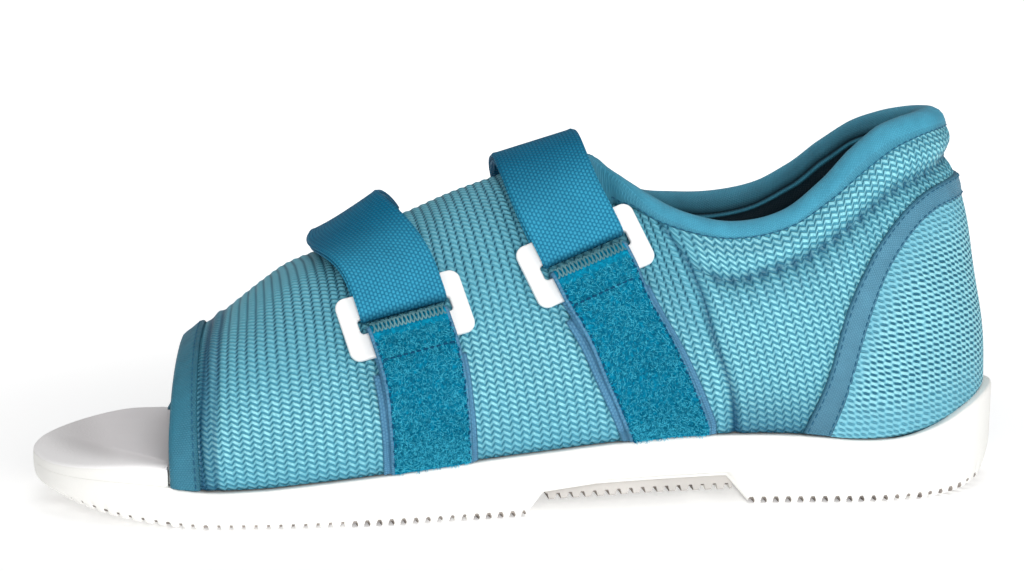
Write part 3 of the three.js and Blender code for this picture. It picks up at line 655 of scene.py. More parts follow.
def makeUpper():
    us = np.r_[np.linspace(0, throat, upperLook["toThroat"] + 1),
               np.linspace(throat, 1, upperLook["behind"] + 1)[1:]]
    first, top, steps = upperLook["toThroat"], upperLook["levels"], upperLook["rimSteps"]
    q = np.linspace(0, 1, top + 1)[None, :]
    u = us[:, None]
    bare = bareSkin(u, q)
    run = runLength(bare)
    across = u * soleRun + upperLook["lean"] * bare[..., 2]
    h, zones = upperRelief(u, q, run, across)
    total = run[:, -1:]
    over = np.minimum((q - creaseAt(u)) * total, (u - seamAt(q)) * soleRun)
    drift = upperLook["drift"] * across + 13 * ease((across - 120) / 100)
    closer = 1 + upperLook["closer"] * ease((75 - across) / 55)
    cloth = vectors(across, (run - drift) * closer, run - total - 0.02 * across)
    sides = vectors(over, (u - seamAt(q)) * soleRun, 0.0)
    verts, faces, marks, layers = [], [], [], [[], [], []]
    for side in (0, 1):
        v = np.maximum(2 - q, 1 + 1e-9) if side else q
        out, inn = skin(u, v, h), skin(u, v, -thickness(u, v) + 0 * h)
        inn[:, 0, 2] = bare[:, 0, 2]
        inn[0, :, 0] = bare[0, :, 0]
        for p in (out, inn):
            p[-1, :, 1] = 0
            p[:first + 1, -1, 1] = 0
        a = np.pi * np.arange(1, steps + 1) / (steps + 1)
        mids = out[:, -1:] + (inn[:, -1:] - out[:, -1:]) * ((1 - np.cos(a)) / 2)[None, :, None]
        along = unit(bareSkin(us, 1.0) - bareSkin(us, 0.95)) * ([1, -1, 1] if side else [1, 1, 1])
        rise = (0.9 + (shell["rollRise"] - 0.9) * roll(us)) * clamp((us - throat) / 0.006)
        cap = mids + along[:, None] * (rise[:, None] * np.sin(a)[None])[..., None]
        cap[-1, :, 1] = 0
        ring = join(out, cap, inn[:, ::-1], axis=1)
        n, m = ring.shape[:2]
        quads = gridFaces(n, m, closeM=True)
        i, j = np.divmod(np.arange(len(quads)), m)
        keep = ~((i < first) & (j >= top) & (j <= top + steps))
        front = np.stack([np.arange(top), np.arange(1, top + 1), m - 2 - np.arange(top),
                          m - 1 - np.arange(top)], -1)
        start = side * n * m
        faces += [quads[keep] + start, front + start]
        marks += [np.where(j[keep] > top + steps, 1, 0), np.zeros(top)]
        verts.append(ring.reshape(-1, 3))
        for layer, values in zip(layers, (cloth, zones, sides)):
            layer.append(join(values, np.repeat(values[:, -1:], steps, 1), values[:, ::-1],
                              axis=1).reshape(-1, 3))
    makePiece("upper_knit", "upper", ["upper"], slant(join(*verts)), [join(*faces)], ["knit", "lining"],
              *(join(*layer) for layer in layers), join(*marks))


makeUpper()
print("upper made")


# (u, v) after a straight step along the surface
def surfaceStep(u, v, direction, distance):
    e = 1e-3
    du, dv = (bareSkin(u + e, v) - bareSkin(u - e, v)) / (2 * e), (bareSkin(u, v) - bareSkin(u, v - e)) / e
    stepU, stepV = solveStep(du, dv, direction)
    return u + stepU * distance, v + stepV * distance


toeEdge = {"thick": 1.15, "stations": 190, "pucker": 0.1}
stitch = {"pitch": 2.3, "long": 1.75, "radius": 0.17, "arch": 0.03}


def makeToeBinding():
    t, wall = toeEdge["thick"], shell["wall"]
    profile = np.array([(7.4, 0.2), (7.35, 0.8), (6.8, t), (5.4, t + 0.15), (3.4, t + 0.1), (1.5, t + 0.15),
                        (0.3, t), (-0.7, 0.55), (-1.15, -0.4), (-1.25, -wall / 2), (-1.15, -wall + 0.4),
                        (-0.7, -wall - 0.55), (0.3, -wall - t), (3, -wall - t), (5.8, -wall - t),
                        (6.4, -wall - 0.9), (6.4, -wall - 0.15), (3, -wall - 0.12), (0.2, -wall - 0.1),
                        (-0.15, -wall / 2), (0.2, 0.1), (3, 0.12), (6, 0.14)])
    v = np.linspace(0.004, 1.996, toeEdge["stations"])
    edge = bareSkin(0.0, v)
    length = runLength(edge)
    pull = np.linalg.norm(bareSkin(0.01, v) - edge, axis=-1) * 100
    ahead = unit(edge - bareSkin(0.01, v))
    d, h = profile[None, :, 0], profile[None, :, 1]
    wavy = 1 + toeEdge["pucker"] * np.sin(2 * np.pi * length / 3.4)[:, None] * bell(d - 6.4, 1.5)
    h = h * np.where(h > 0.3, wavy, 1)
    u = np.maximum(d, 0) / pull[:, None]
    points = skin(u, v[:, None] + 0 * d, h) + ahead[:, None] * np.maximum(-d, 0)[..., None]
    cloth = vectors(length[:, None], runLength(profile)[None], 0.0)
    lit = np.where(profile[:, 1] < -wall - 0.4, 0.35, 0.54) * np.where(profile[:, 0] > 6.5, 0.75, 1.0)
    tone = vectors(lit[None], 0 * v[:, None], 0.0)
    makePiece("toe_binding_tape", "toe_binding", ["toe_binding"], slant(points), sweep(points), ["binding"],
              cloth, tone, weld=False)
    line, normal = slant(skin(6.2 / pull, v, t + 0.12)), bareNormal(6.2 / pull, v)
    stitchRow("toe_binding_stitches", "toe_binding", line, normal, stitch, "thread")


makeToeBinding()

collarEdge = {"thick": 1.15, "fan": 9, "legs": 210, "inside": 8.5}
collarDrop = profileThrough([(0.5, 5.6), (throat, 5.6), (0.56, 4.2), (0.6, 1.9), (0.64, 0.9), (0.69, 0.6),
        (0.735, 1.2), (0.78, 2.4), (0.825, 3.1), (0.87, 2.6), (0.92, 1.8), (1.0, 2.0)])


# outer flap, rolled rim and inner flap round the near half of the collar, raised by g
def collarSections(g, outerShares, innerShares, steps):
    legs = throat + (1 - throat) * np.linspace(0, 1, collarEdge["legs"]) ** 1.15
    us = np.r_[np.full(collarEdge["fan"], throat), legs]
    e = 1e-3
    tangent = unit(bareSkin(us + e, 1.0) - bareSkin(us, 1.0))
    tangent[-1] = [0, 1, 0]
    normal = bareNormal(us, 1 - 1e-9)
    normal[: collarEdge["fan"] + 1] = unit(normal[: collarEdge["fan"] + 1] * [1, 0, 1])
    lead = unit(np.cross(normal, tangent))
    turn = np.linspace(0, 1, collarEdge["fan"] + 1)[:-1, None]
    lead[: collarEdge["fan"]] = unit([1, 0, 0.05] + (lead[collarEdge["fan"]] - [1, 0, 0.05]) * turn)
    drop, inside = collarDrop(us), 5.6 + (collarEdge["inside"] - 5.6) * ease((us - throat) / 0.08)
    points = []
    for shares, reach, sign in ((outerShares, drop, 1), (innerShares, inside, -1)):
        flap = []
        for share, lift in shares:
            uu, vv = surfaceStep(us, np.full_like(us, 1 - 1e-9), -lead, reach * share)
            vv = np.minimum(vv, 1 - 1e-9)
            n = bareNormal(uu, vv)
            deep = g * lift if sign > 0 else -thickness(uu, vv) - g * lift
            p = bareSkin(uu, vv) + n * np.broadcast_to(deep, uu.shape)[:, None]
            p[0, 1] = 0
            flap.append(p)
        points.append(flap)
    outer, inner = points
    rimOut, rimIn = outer[-1], inner[-1]
    along = unit(bareSkin(us, 1.0) - bareSkin(us, 0.95))
    along = unit(lead + (along - lead) * ease((us - throat) / 0.03)[:, None])
    rise = (0.9 + (shell["rollRise"] - 0.9) * roll(us)) * (0.4 + 0.6 * clamp((us - throat) / 0.01)) + g
    a = np.pi * np.arange(1, steps) / steps
    cap = [rimOut + (rimIn - rimOut) * (1 - np.cos(x)) / 2 + along * (rise * np.sin(x))[:, None] for x in a]
    ring = np.stack(outer + cap + inner[::-1], 1)
    ring[-1, :, 1] = 0
    ring[0, :, 1] = 0
    return ring, us


def makeCollarBinding():
    # share of the flap's reach, height, painted brightness that shades the tape dark inside the shoe and
    # under the roll and lighter on top; a thin piping runs inside
    outerRows = np.array([(1.0, 0.25, 0.4), (0.98, 0.75, 0.45), (0.85, 1.0, 0.62), (0.5, 1.06, 0.74),
                          (0.2, 1.0, 0.8), (0.0, 1.0, 0.95)])
    innerRows = np.array([(1.0, 0.25, 0.03), (0.96, 0.8, 0.03), (0.7, 0.9, 0.03), (0.4, 0.9, 0.03),
                          (0.25, 0.8, 0.04), (0.2, 1.2, 0.5), (0.155, 1.45, 0.9), (0.11, 1.2, 0.5),
                          (0.07, 0.7, 0.04), (0.03, 0.9, 0.08), (0.0, 1.0, 0.2)])
    outside, us = collarSections(collarEdge["thick"], outerRows[:, :2], innerRows[:, :2], 9)
    plain = [(1.0, 1.0), (0.85, 1.0), (0.2, 1.0)]
    under, _ = collarSections(0.14, plain, plain, 6)
    half = join(outside, under[:, ::-1], axis=1)
    points = mirrored(half, 0)
    length = runLength(points[:, 3])
    cloth = vectors(length[:, None], runLength(half[len(half) // 2])[None], 0.0)
    lit = np.r_[outerRows[:, 2], 1.0 - 0.55 * ease(np.linspace(-0.3, 1, 8)), innerRows[::-1, 2],
                np.full(under.shape[1], 0.1)]
    tone = vectors(lit[None], 0 * length[:, None], 0.0)
    faces = [gridFaces(*points.shape[:2], closeN=True, closeM=True)]
    makePiece("collar_binding_tape", "collar_binding", ["collar_binding"], slant(points), faces, ["binding"],
              cloth, tone)
    k = collarEdge["fan"]
    row, out = mirrored(half[k:, 2]), mirrored(bareNormal(us[k:], 0.98))
    stitchRow("collar_stitches", "collar_binding", slant(row + out * 0.02), out, stitch, "thread")


makeCollarBinding()
print("bindings made")

floorAt = profileThrough([(-139, 12.1), (-103.5, 11.8), (-92.5, 10.7), (-80, 11), (-62, 12.5), (-43.5, 14.2),
                          (-28, 15.7), (-12, 17.1), (4, 18.3), (18, 19.4), (29, 20.1), (38, 20.6), (47, 20.8),
                          (57, 20.7), (68, 20.3), (79, 19.5), (90, 18.2), (100, 17.8), (140, 17.8)])
rimAt = profileThrough([(80, 0), (97, 0), (104, 0.5), (117, 3.4), (126.4, 6.9), (134, 9.5), (139, 10.4)])


def edgeAt(x):
    return floorAt(x) + np.where(x > 97, rimAt(x), 0)


# v where the raised surface meets a height given by length
def crossing(us, height, lift):
    low, high = np.zeros_like(us), np.ones_like(us)
    for _ in range(30):
        mid = (low + high) / 2
        p = skin(us, mid, lift)
        over = p[:, 2] > height(p[:, 0])
        low, high = np.where(over, low, mid), np.where(over, mid, high)
    return (low + high) / 2


tapeLow = np.array([[76, 20.6], [83.2, 37.3], [87.8, 53], [94.5, 66.9], [105.1, 80.3], [113.5, 86],
                    [122.3, 88.5], [140, 88]])
tapeHigh = np.array([[83.6, 19.6], [88.5, 32.2], [93, 47.6], [98.6, 61.8], [108.8, 76.1], [117, 81.3],
                     [123.7, 82.6], [140, 82]])


def tapeLine(rows):
    f = splineThrough(rows[:, 0], rows[:, 1:])
    return lambda x: np.where(x < rows[0, 0], -50, f(np.maximum(x, rows[0, 0]))[..., 0])


counterLook = {"lift": 1.3, "columns": 120, "rows": 46, "rise": 0.22}
counterTape = {"lift": 1.85, "stations": 130}


def makeCounter():
    starts = np.linspace(0.6, 1, 4000)
    edge = crossing(starts, tapeLine(tapeHigh), counterLook["lift"])
    begin = starts[np.argmax(edge > 0.006)]
    us = np.linspace(begin, 1, counterLook["columns"])
    high = crossing(us, tapeLine(tapeHigh - [0.6, -0.5]), counterLook["lift"])
    low = np.minimum(crossing(us, lambda x: edgeAt(x) + 0.35, counterLook["lift"]), high)
    w = np.linspace(0, 1, counterLook["rows"])[None]
    v = low[:, None] + (high - low)[:, None] * w
    u = us[:, None] + 0 * w
    bare = bareSkin(u, v)
    run = runLength(bare)
    across = (u - 1) * soleRun
    soft = ease(run / 1.6)
    h = 0.5 + (counterLook["lift"] - 0.5) * soft + 0.1 * np.cos(4 * np.pi * across / 2.0) * soft
    h = h + 0.25 * np.sin(v * 17 + u * 23) * soft
    outer, inner = skin(u, v, h), skin(u, v, 0.28)
    outer[-1, :, 1] = inner[-1, :, 1] = 0
    cloth = vectors(across, run + low[:, None] * 90 + counterLook["rise"] * across, 0.0)
    fromTape = run[:, -1:] - run
    flat = np.maximum(ease((15 - fromTape) / 13), ease((15 - run) / 12))
    calm = 0.62 * flat * (1 - 0.6 * ease((across + 22) / 14))
    tone = vectors(calm, 0.0, 0.0)
    verts, cloths, faces = [], [], []
    n, m = run.shape
    for side in (1, -1):
        for layer in (outer, inner):
            start = len(verts) * n * m
            verts.append(layer * [1, side, 1])
            cloths.append(cloth * [side, 1, 1])
            faces.append(gridFaces(n, m) + start)
            if layer is outer:
                rim = np.arange(n) * m
                faces += [bridge(row, n * m) + start for row in (rim, rim + m - 1, np.arange(m))]
    makePiece("heel_counter_mesh", "heel_counter", ["heel_counter"], slant(join(*verts).reshape(-1, 3)),
              [join(*faces)], ["counter"], join(*cloths), join(*[tone] * 4))
    lines = []
    for rows in (tapeLow, tapeHigh):
        edge = crossing(starts, tapeLine(rows), counterTape["lift"])
        keep = edge > 0.004
        uv = vectors(starts[keep], edge[keep])
        lines.append(resample(uv, runLength(bareSkin(uv[:, 0], uv[:, 1])), counterTape["stations"]))
    share = np.array([-0.03, -0.03, 0.0, 0.1, 0.24, 0.5, 0.76, 0.9, 1.0, 1.03, 1.03, 0.75, 0.5, 0.25])
    lift = np.array([0.3, 0.9, 1.45, 1.75, 1.68, 1.85, 1.68, 1.75, 1.5, 1.0, 0.3, 0.3, 0.3, 0.3])
    uv = lines[0][:, None] + (lines[1] - lines[0])[:, None] * share[None, :, None]
    middle = bareSkin(uv[:, 5, 0], uv[:, 5, 1])
    length = runLength(middle)
    wavy = 1 + 0.05 * np.sin(2 * np.pi * length / 4.1)[:, None] * bell(np.abs(share - 0.5) - 0.4, 0.2)[None]
    half = skin(np.minimum(uv[..., 0], 1), np.maximum(uv[..., 1], 0), lift[None] * wavy)
    half[-1, :, 1] = 0
    points = mirrored(half)
    length = np.r_[length, 2 * length[-1] - length[-2::-1]]
    cloth = vectors(runLength(half[60])[None], length[:, None], 0.0)
    # painted shade: darker toward the bottom of the tape and along its turned edges
    low = 0.7 + 0.22 * ease((points[..., 2] - 16) / 30)
    tone = vectors(low, 0.5 * bell(np.abs(share - 0.5) - 0.53, 0.06)[None], 0.0)
    makePiece("counter_tape", "counter_binding", ["counter_binding"], slant(points), sweep(points),
              ["counterTape"], cloth, tone, weld=False)
    for name, k in (("counter_stitches_front", 3), ("counter_stitches_back", 7)):
        out = mirrored(bareNormal(uv[:, k, 0], uv[:, k, 1]))
        stitchRow(name, "counter_binding", slant(points[:, k] + out * 0.06), out, stitch, "thread")


makeCounter()
print("counter made")


ringLook = {"long": 36.0, "high": 19.0, "slotLong": 26.6, "slotHigh": 4.4, "thick": 1.8, "corner": 3.0,
            "low": 2.3, "round": 0.55, "perCorner": 24}
gap = 0.3
ringMid = ringLook["low"] + ringLook["thick"] / 2


# where one strap runs: t along it from the ring over the ridge, w across, h above
def makeLane(at, lift, wide, out, crest, crestWide, foot):
    out, crest = unit(np.array(out, float)), np.array(crest, float)
    crestWide = unit(np.array(crestWide, float))
    o = skin(np.float64(at[0]), np.float64(at[1]), lift)
    wide = unit(np.array(wide, float) - out * np.dot(wide, out))
    up = np.cross(out, wide)
    start, frm = 11.0, o + up * 11.0
    span = np.linalg.norm(crest - frm) * 1.08
    top = start + span

    def rise(t, w, h):
        return o + up * t + wide * w + out * h

    def arc(s):
        return ((1 + 2 * s) * (1 - s) ** 2 * frm + s * (1 - s) ** 2 * up * span + s * s * (3 - 2 * s) * crest
                + s * s * (s - 1) * np.array([0, 1.0, 0]) * span)

    def onArc(t, w, h):
        s = clamp((t - start) / span)
        along = unit(arc(np.minimum(1, s + 1e-3)) - arc(s - 1e-3))
        side = unit(wide + (crestWide - wide) * ease(s))
        return arc(s) + side * w + unit(np.cross(side, along)) * h

    way = np.array([at, *foot], float)
    places = skin(way[:, 0], way[:, 1])
    reach = runLength(places)
    path = splineThrough(reach, way)

    def onFace(t, w, h):
        s = np.clip(-t[..., 0], 1.0, reach[-1])
        uv, before = path(s), path(s - 1)
        p, n = skin(uv[..., 0], uv[..., 1]), bareNormal(uv[..., 0], uv[..., 1])
        along = unit(skin(before[..., 0], before[..., 1]) - p)
        side = unit(np.cross(along, n))
        e = 1e-3
        du, dv = skin(uv[..., 0] + e, uv[..., 1]) - p, skin(uv[..., 0], uv[..., 1] + e) - p
        stepU, stepV = solveStep(du, dv, side)
        uu = uv[..., 0] + stepU * e * w[..., 0]
        vv = np.maximum(0, uv[..., 1] + stepV * e * w[..., 0])
        return skin(uu, vv, h[..., 0]) + np.array([0, 0, -1.0]) * (-t - s[..., None])

    def place(t, w, h):
        t, w, h = np.moveaxis(vectors(t, w, h).astype(float), -1, 0)[..., None]
        tt = np.where(t > top, 2 * top - t, t)
        low = rise(tt, w, h)
        face = low + (onFace(tt, w, h) - low) * ease((-tt - 8) / 20)
        p = np.where(tt > start, onArc(tt, w, h), np.where(tt > -8, low, face))
        return p * np.where(t > top, [1, -1, 1], [1, 1, 1])

    return {"place": place, "top": top, "reach": reach[-1], "o": o, "wide": wide, "up": up, "out": out}


lanes = {
    "front": makeLane([0.258, 0.457], 0.2, [0.966, 0.053, 0.249], [-0.04, -0.84, 0.54], [-47.9, 0, 76.3],
                      [0.815, 0, 0.58], [[0.268, 0.3], [0.277, 0.14], [0.2795, 0]]),
    "rear": makeLane([0.477, 0.504], 1.2, [0.925, 0.153, 0.344], [-0.02, -0.895, 0.445], [5.6, 0, 95.9],
                     [0.96, 0, 0.28], [[0.503, 0.35], [0.5285, 0.18], [0.5525, 0]]),
}


def bend(t, h, r, a0, a1, n=12):
    a = np.linspace(a0, a1, n + 1)
    return vectors(t + r * np.cos(a), h + r * np.sin(a)).tolist()


tapeGrid = {"step": 1.3, "across": 26, "round": 1.4, "trim": 16}


# closed sections of a tape; its end at the start of the path is cut along the sole edge
def tapePoints(lane, path, size, inward, bead=0.0):
    path, thick, broad = np.array(path, float), size["thick"], size["wide"]
    length = runLength(path)
    centre = resample(path, length, int(length[-1] / tapeGrid["step"]) + 2)
    for _ in range(2):
        centre[1:-1] = (centre[:-2] + 2 * centre[1:-1] + centre[2:]) / 4
    d = unit(np.gradient(centre, axis=0))
    ws = np.linspace(-1, 1, tapeGrid["across"])
    rounded = clamp((np.abs(ws) - 1) * broad / tapeGrid["round"] + 1)
    beadLine = bell(np.abs(ws) - 1 + 2.2 / broad, 1.2 / broad)
    high = thick / 2 * (np.sqrt(1 - rounded**2) * 0.8 + 0.2) + bead * beadLine
    w = np.r_[ws, ws[::-1]] * broad / 2
    g = np.r_[high, -high[::-1]]
    t = centre[:, 0, None] - d[:, 1, None] * g[None]
    h = centre[:, 1, None] + d[:, 0, None] * g[None]
    w = w[None] + 0 * t
    end = path[0, 0]
    stop = end + inward * tapeGrid["trim"]
    probe = np.linspace(end, stop, 60)
    p = lane["place"](probe[:, None], w[:1], h[:1])
    cut = probe[np.argmax(p[..., 2] > floorAt(p[..., 0]) + 0.45, axis=0)]
    near = clamp((t - stop) / (end - stop))
    t = np.where((t - stop) * (end - stop) > 0, stop + (cut - stop) * near, t)
    return lane["place"](t, w, h), vectors(w, runLength(centre)[:, None], 0.0), centre


def roundedBox(long, high, corner):
    points = []
    for right, up, quarter in ((1, 1, 0), (-1, 1, 1), (-1, -1, 2), (1, -1, 3)):
        turn = (quarter + np.linspace(0, 1, ringLook["perCorner"])) * np.pi / 2
        x, y = right * (long / 2 - corner), up * (high / 2 - corner)
        points.append(vectors(x + corner * np.cos(turn), y + corner * np.sin(turn)))
    return join(*points)


def makeRing(key, lane):
    r = ringLook
    outer = roundedBox(r["long"], r["high"], r["corner"])
    inner = roundedBox(r["slotLong"], r["slotHigh"], 1.0)
    c, t = r["round"], r["thick"] / 2
    a = np.linspace(0, np.pi / 2, 5)
    section = []
    for share, middle, turn in ((1, -1, -a[::-1]), (1, 1, a), (0, -1, a[::-1]), (0, -1, -a)):
        face = np.where(turn == 0, middle, np.sign(turn))
        inset = c * (np.cos(turn) - 1) * (1 if share else -1)
        section += list(zip([share] * len(turn), inset, (t - c) * face + c * np.sin(turn)))
    out2 = unit(outer - roundedBox(r["long"] - 2, r["high"] - 2, r["corner"] - 1 + 1e-6))
    in2 = unit(inner - roundedBox(r["slotLong"] + 1, r["slotHigh"] + 1, 1.5)) * -1
    rings = []
    for share, shift, high in section:
        flat = outer + out2 * shift if share else inner + in2 * shift
        rings.append(lane["o"] + lane["wide"] * flat[:, :1] + lane["up"] * flat[:, 1:]
                     + lane["out"] * (r["low"] + high))
    points = np.stack(rings, 1)
    faces = [gridFaces(*points.shape[:2], closeN=True, closeM=True)]
    makePiece(key + "_ring_plate", "ring", [key + "_ring"], points, faces, ["ring"])


strapLook = {"wide": 25.0, "thick": 1.2, "first": 1.5}
pileStrip = {"wide": 23.4, "thick": 1.1, "furred": 20.8, "fibres": 5600, "long": 1.25, "radius": 0.11}
zigzag = {"pitch": 1.15, "from": -3.7, "to": -0.7, "radius": 0.24, "sides": 6}
backingLook = {"wide": 27.0, "thick": 0.8}


# short curled loops standing on the outer face of the strip, as tapered three sided threads
def pileFibres(points, seed, count):
    rng = np.random.default_rng(seed)
    n, m = points.shape[:2]
    half = m // 2
    bare = (1 - pileStrip["furred"] / pileStrip["wide"]) / 2 * (half - 1)
    i, j = rng.uniform(0.5, n - 2.0, count), rng.uniform(bare, half - 1 - bare, count)
    i0, j0 = i.astype(int), j.astype(int)
    fi, fj = (i - i0)[:, None], (j - j0)[:, None]
    grid = points[:, :half]
    p = (grid[i0, j0] * (1 - fi) * (1 - fj) + grid[i0 + 1, j0] * fi * (1 - fj)
         + grid[i0, j0 + 1] * (1 - fi) * fj + grid[i0 + 1, j0 + 1] * fi * fj)
    a, b = unit(grid[i0 + 1, j0] - grid[i0, j0]), unit(grid[i0, j0 + 1] - grid[i0, j0])
    up = unit(np.cross(b, a))
    spin = rng.uniform(0, 2 * np.pi, count)[:, None]
    lean = a * np.cos(spin) + b * np.sin(spin)
    own = rng.uniform(0, 1, count)
    tall = pileStrip["long"] * rng.uniform(0.55, 1.1, count)[:, None]
    steps = np.array([0.0, 0.45, 0.85, 1.0])
    sway = np.array([0.0, 0.25, 0.85, 1.35])
    height = np.array([-0.15, 0.55, 0.72, 0.45])
    spine = p[:, None] + up[:, None] * (height[None, :, None] * tall[:, None])
    spine = spine + lean[:, None] * (sway[None, :, None] * tall[:, None] * 0.8)
    side = unit(np.cross(lean, up))
    turn = np.arange(3) * 2 * np.pi / 3
    radius = pileStrip["radius"] * np.array([1.0, 0.95, 0.8, 0.35])
    turned = side[:, None, None] * np.cos(turn)[None, None, :, None]
    turned = turned + up[:, None, None] * np.sin(turn)[None, None, :, None]
    ring = spine[:, :, None] + radius[None, :, None, None] * turned
    base = sweep(ring[0])
    starts = np.arange(count)[:, None, None] * len(steps) * len(turn)
    quads, ends = (base[0][None] + starts).reshape(-1, 4), (np.stack(base[1:])[None] + starts).reshape(-1, 3)
    tone = vectors(steps[None, :, None], own[:, None, None], np.zeros(ring.shape[:3]))
    flat = vectors(i * tapeGrid["step"], j, 0.0)
    cloth = np.broadcast_to(flat[:, None, None], tone.shape)
    return ring.reshape(-1, 3), quads, ends, cloth.reshape(-1, 3), tone.reshape(-1, 3)


# round zigzag thread along a line
def zigzagThread(name, line):
    along = unit(np.gradient(line, axis=0))
    side = unit(np.cross(along, [0.3, -0.9, 0.3]))
    up = np.cross(side, along)
    turn = (np.arange(zigzag["sides"]) * 2 * np.pi / zigzag["sides"])[None, :, None]
    ring = line[:, None] + zigzag["radius"] * (side[:, None] * np.cos(turn) + up[:, None] * np.sin(turn))
    makePiece(name, "pile", [], ring, sweep(ring), ["zigzag"], weld=False)


def makeWebbing(key, lane):
    foot, top = -lane["reach"], lane["top"]
    far = 2 * top
    s, first = ringLook["thick"] / 2 + gap + strapLook["thick"] / 2, strapLook["first"]
    second = first + strapLook["thick"] + gap
    path = [[far - foot + 8, 1], [far + 20, 1.2], [far - 12, first], [top, first], [16, first],
            [9.6, ringMid - s], *bend(2.74, ringMid, s, 1.5 * np.pi, 0.5 * np.pi), [9.6, ringMid + s],
            [20, second + 0.6], [30, second], [top, second], [top + 26, second]]
    points, cloth, centre = tapePoints(lane, path, strapLook, -1, 0.12)
    t = centre[:, 0, None]
    # painted light and shade: brighter near the ring and shaded toward the crest, with a painted shadow next
    # to the ring's slot
    lit = 1 - 0.9 * ease((t - 12) / 26)
    paintedShade = 0.7 * (1 - ease((t - 1.4) / 1.6))
    tone = vectors(lit, paintedShade, np.zeros(points.shape[:2]))
    makePiece(key + "_strap_webbing", "strap", [key + "_strap"], points, sweep(points), ["webbing"], cloth,
              tone, weld=False)


def makePile(key, lane, seed):
    foot, place = -lane["reach"], lane["place"]
    p = ringLook["thick"] / 2 + gap + 0.8
    path = [[foot - 8, 2.1], [-32, 2.1], [-26, 2.9], [-21, 4.2], [-15, 4.8], [-9.6, ringMid + p],
            *bend(-2.74, ringMid, p, 0.5 * np.pi, -0.5 * np.pi), [-9.6, ringMid - p], [-14, 2.1], [-19, 2.1]]
    points, cloth, centre = tapePoints(lane, path, pileStrip, 1)
    tone = np.zeros_like(cloth)
    tone[..., 1] = 0.4
    hair = pileFibres(points[: int(np.argmax(centre[:, 0] > zigzag["from"] - 0.3))], seed,
                      pileStrip["fibres"])
    start = points.shape[0] * points.shape[1]
    verts = join(points.reshape(-1, 3), hair[0])
    body = sweep(points)
    faces = [join(body[0], hair[1] + start), hair[2] + start, body[1], body[2]]
    margin = np.abs(cloth[..., 0].reshape(-1)[body[0]].mean(1)) > pileStrip["furred"] / 2
    marks = join(margin, np.zeros(len(hair[1]) + len(hair[2]) + 2))
    makePiece(key + "_pile", "pile", [key + "_pile_strip"], verts, faces, ["pile", "selvedge"],
              join(cloth.reshape(-1, 3), hair[3]), join(tone.reshape(-1, 3), hair[4]), marks=marks,
              weld=False)
    rows = np.array(path[:6])

    def onPile(t, w, lift):
        # the fold over the ring's bar is round
        fold = p + pileStrip["thick"] / 2
        drop = fold - np.sqrt(np.maximum(fold**2 - np.maximum(0, t + 2.74) ** 2, 0))
        h = np.interp(t, rows[:, 0], rows[:, 1]) + pileStrip["thick"] / 2 - drop
        return place(t, w, h + lift), unit(place(t, w, h + 1) - place(t, w, h))

    edge = pileStrip["furred"] / 2 + 0.15
    size = {"pitch": 1.9, "long": 1.55, "radius": 0.32, "arch": 0.1}
    for side, word in ((-1, "left"), (1, "right")):
        t = np.linspace(foot + 1.5, -6, 120)
        line, out = onPile(t, side * (edge + 0.25 * np.sin(t * 1.7)), 0.3)
        stitchRow(key + "_pile_stitches_" + word, "pile", line, out, size, "deepThread")
    line, out = onPile(np.full(60, -12.2), np.linspace(-edge, edge, 60), 0.75)
    stitchRow(key + "_cross_stitches", "pile", line, out, size, "deepThread")
    for shift in (0, 1):
        turns = int(2 * edge / zigzag["pitch"]) * 2
        w = np.linspace(-edge, edge, turns * 4)
        swing = np.cos(np.pi * (w / zigzag["pitch"] + shift))
        middle, reach = (zigzag["from"] + zigzag["to"]) / 2, (zigzag["to"] - zigzag["from"]) / 2
        t = middle + reach * np.sign(swing) * np.abs(swing) ** 0.8
        line, _ = onPile(t, w, 0.25 + 0.25 * shift)
        zigzagThread(f"{key}_zigzag_{shift + 1}", line)


def makeStrap(key, lane, seed):
    makeWebbing(key, lane)
    foot = -lane["reach"]
    points, cloth, _ = tapePoints(lane, [[foot - 8, 0.75], [-14, 0.75]], backingLook, 1, 0.1)
    makePiece(key + "_selvedge", "backing", [key + "_backing"], points, sweep(points), ["selvedge"], cloth,
              weld=False)
    makePile(key, lane, seed)
    makeRing(key, lane)


makeStrap("front", lanes["front"], 11)
makeStrap("rear", lanes["rear"], 12)
print("straps made")


halfWide = np.array([[-137.9, 0], [-137.3, 7], [-135.9, 13.6], [-133.6, 20], [-129.5, 26.6], [-124, 32.2],
                     [-117, 37], [-109, 41], [-100, 44.6], [-90, 47], [-77, 48.5], [-62, 48.9], [-46, 48.2],
                     [-30, 46.3], [-14, 43.9], [3, 41.7], [20, 39.6], [36, 38], [52, 37], [68, 36.6],
                     [82, 36.6], [94, 36.5], [104, 35.4], [113, 32.9], [121, 28.8], [127.6, 23], [132.6, 16],
                     [136, 8.6], [137.3, 4.2], [137.9, 0]])
bottomCurve = profileThrough([(-139, 4.6), (-131, 4.2), (-122, 2.8), (-113, 1.5), (-104, 0.6), (-97, 0.15),
        (-92, 0), (-80, 0), (100, 0), (112, 0), (120, 0.4), (127, 1.1), (134, 2.2), (139, 3.4)])
bottomInset = profileThrough([(-139, 5.2), (-134, 3.9), (-122, 2.2), (-104, 1.3), (-70, 1.4), (0, 2.2),
        (40, 4.2), (61, 4.6), (80, 3), (99, 1.2), (128, 1.5), (139, 2.6)])
soleLook = {"pitch": 3.45, "notch": 1.0, "step": 0.43, "padInset": 7.4, "padNotch": 1.35}
topRound = ((0, 1.3), (0.04, 0.8), (0.18, 0.35), (0.42, 0.08))
archLine = np.array([[-3.4, 0], [-3, 0.5], [2.2, 6.5], [17.5, 7.8], [55, 8.1], [61.2, 0.6], [61.6, 0]])


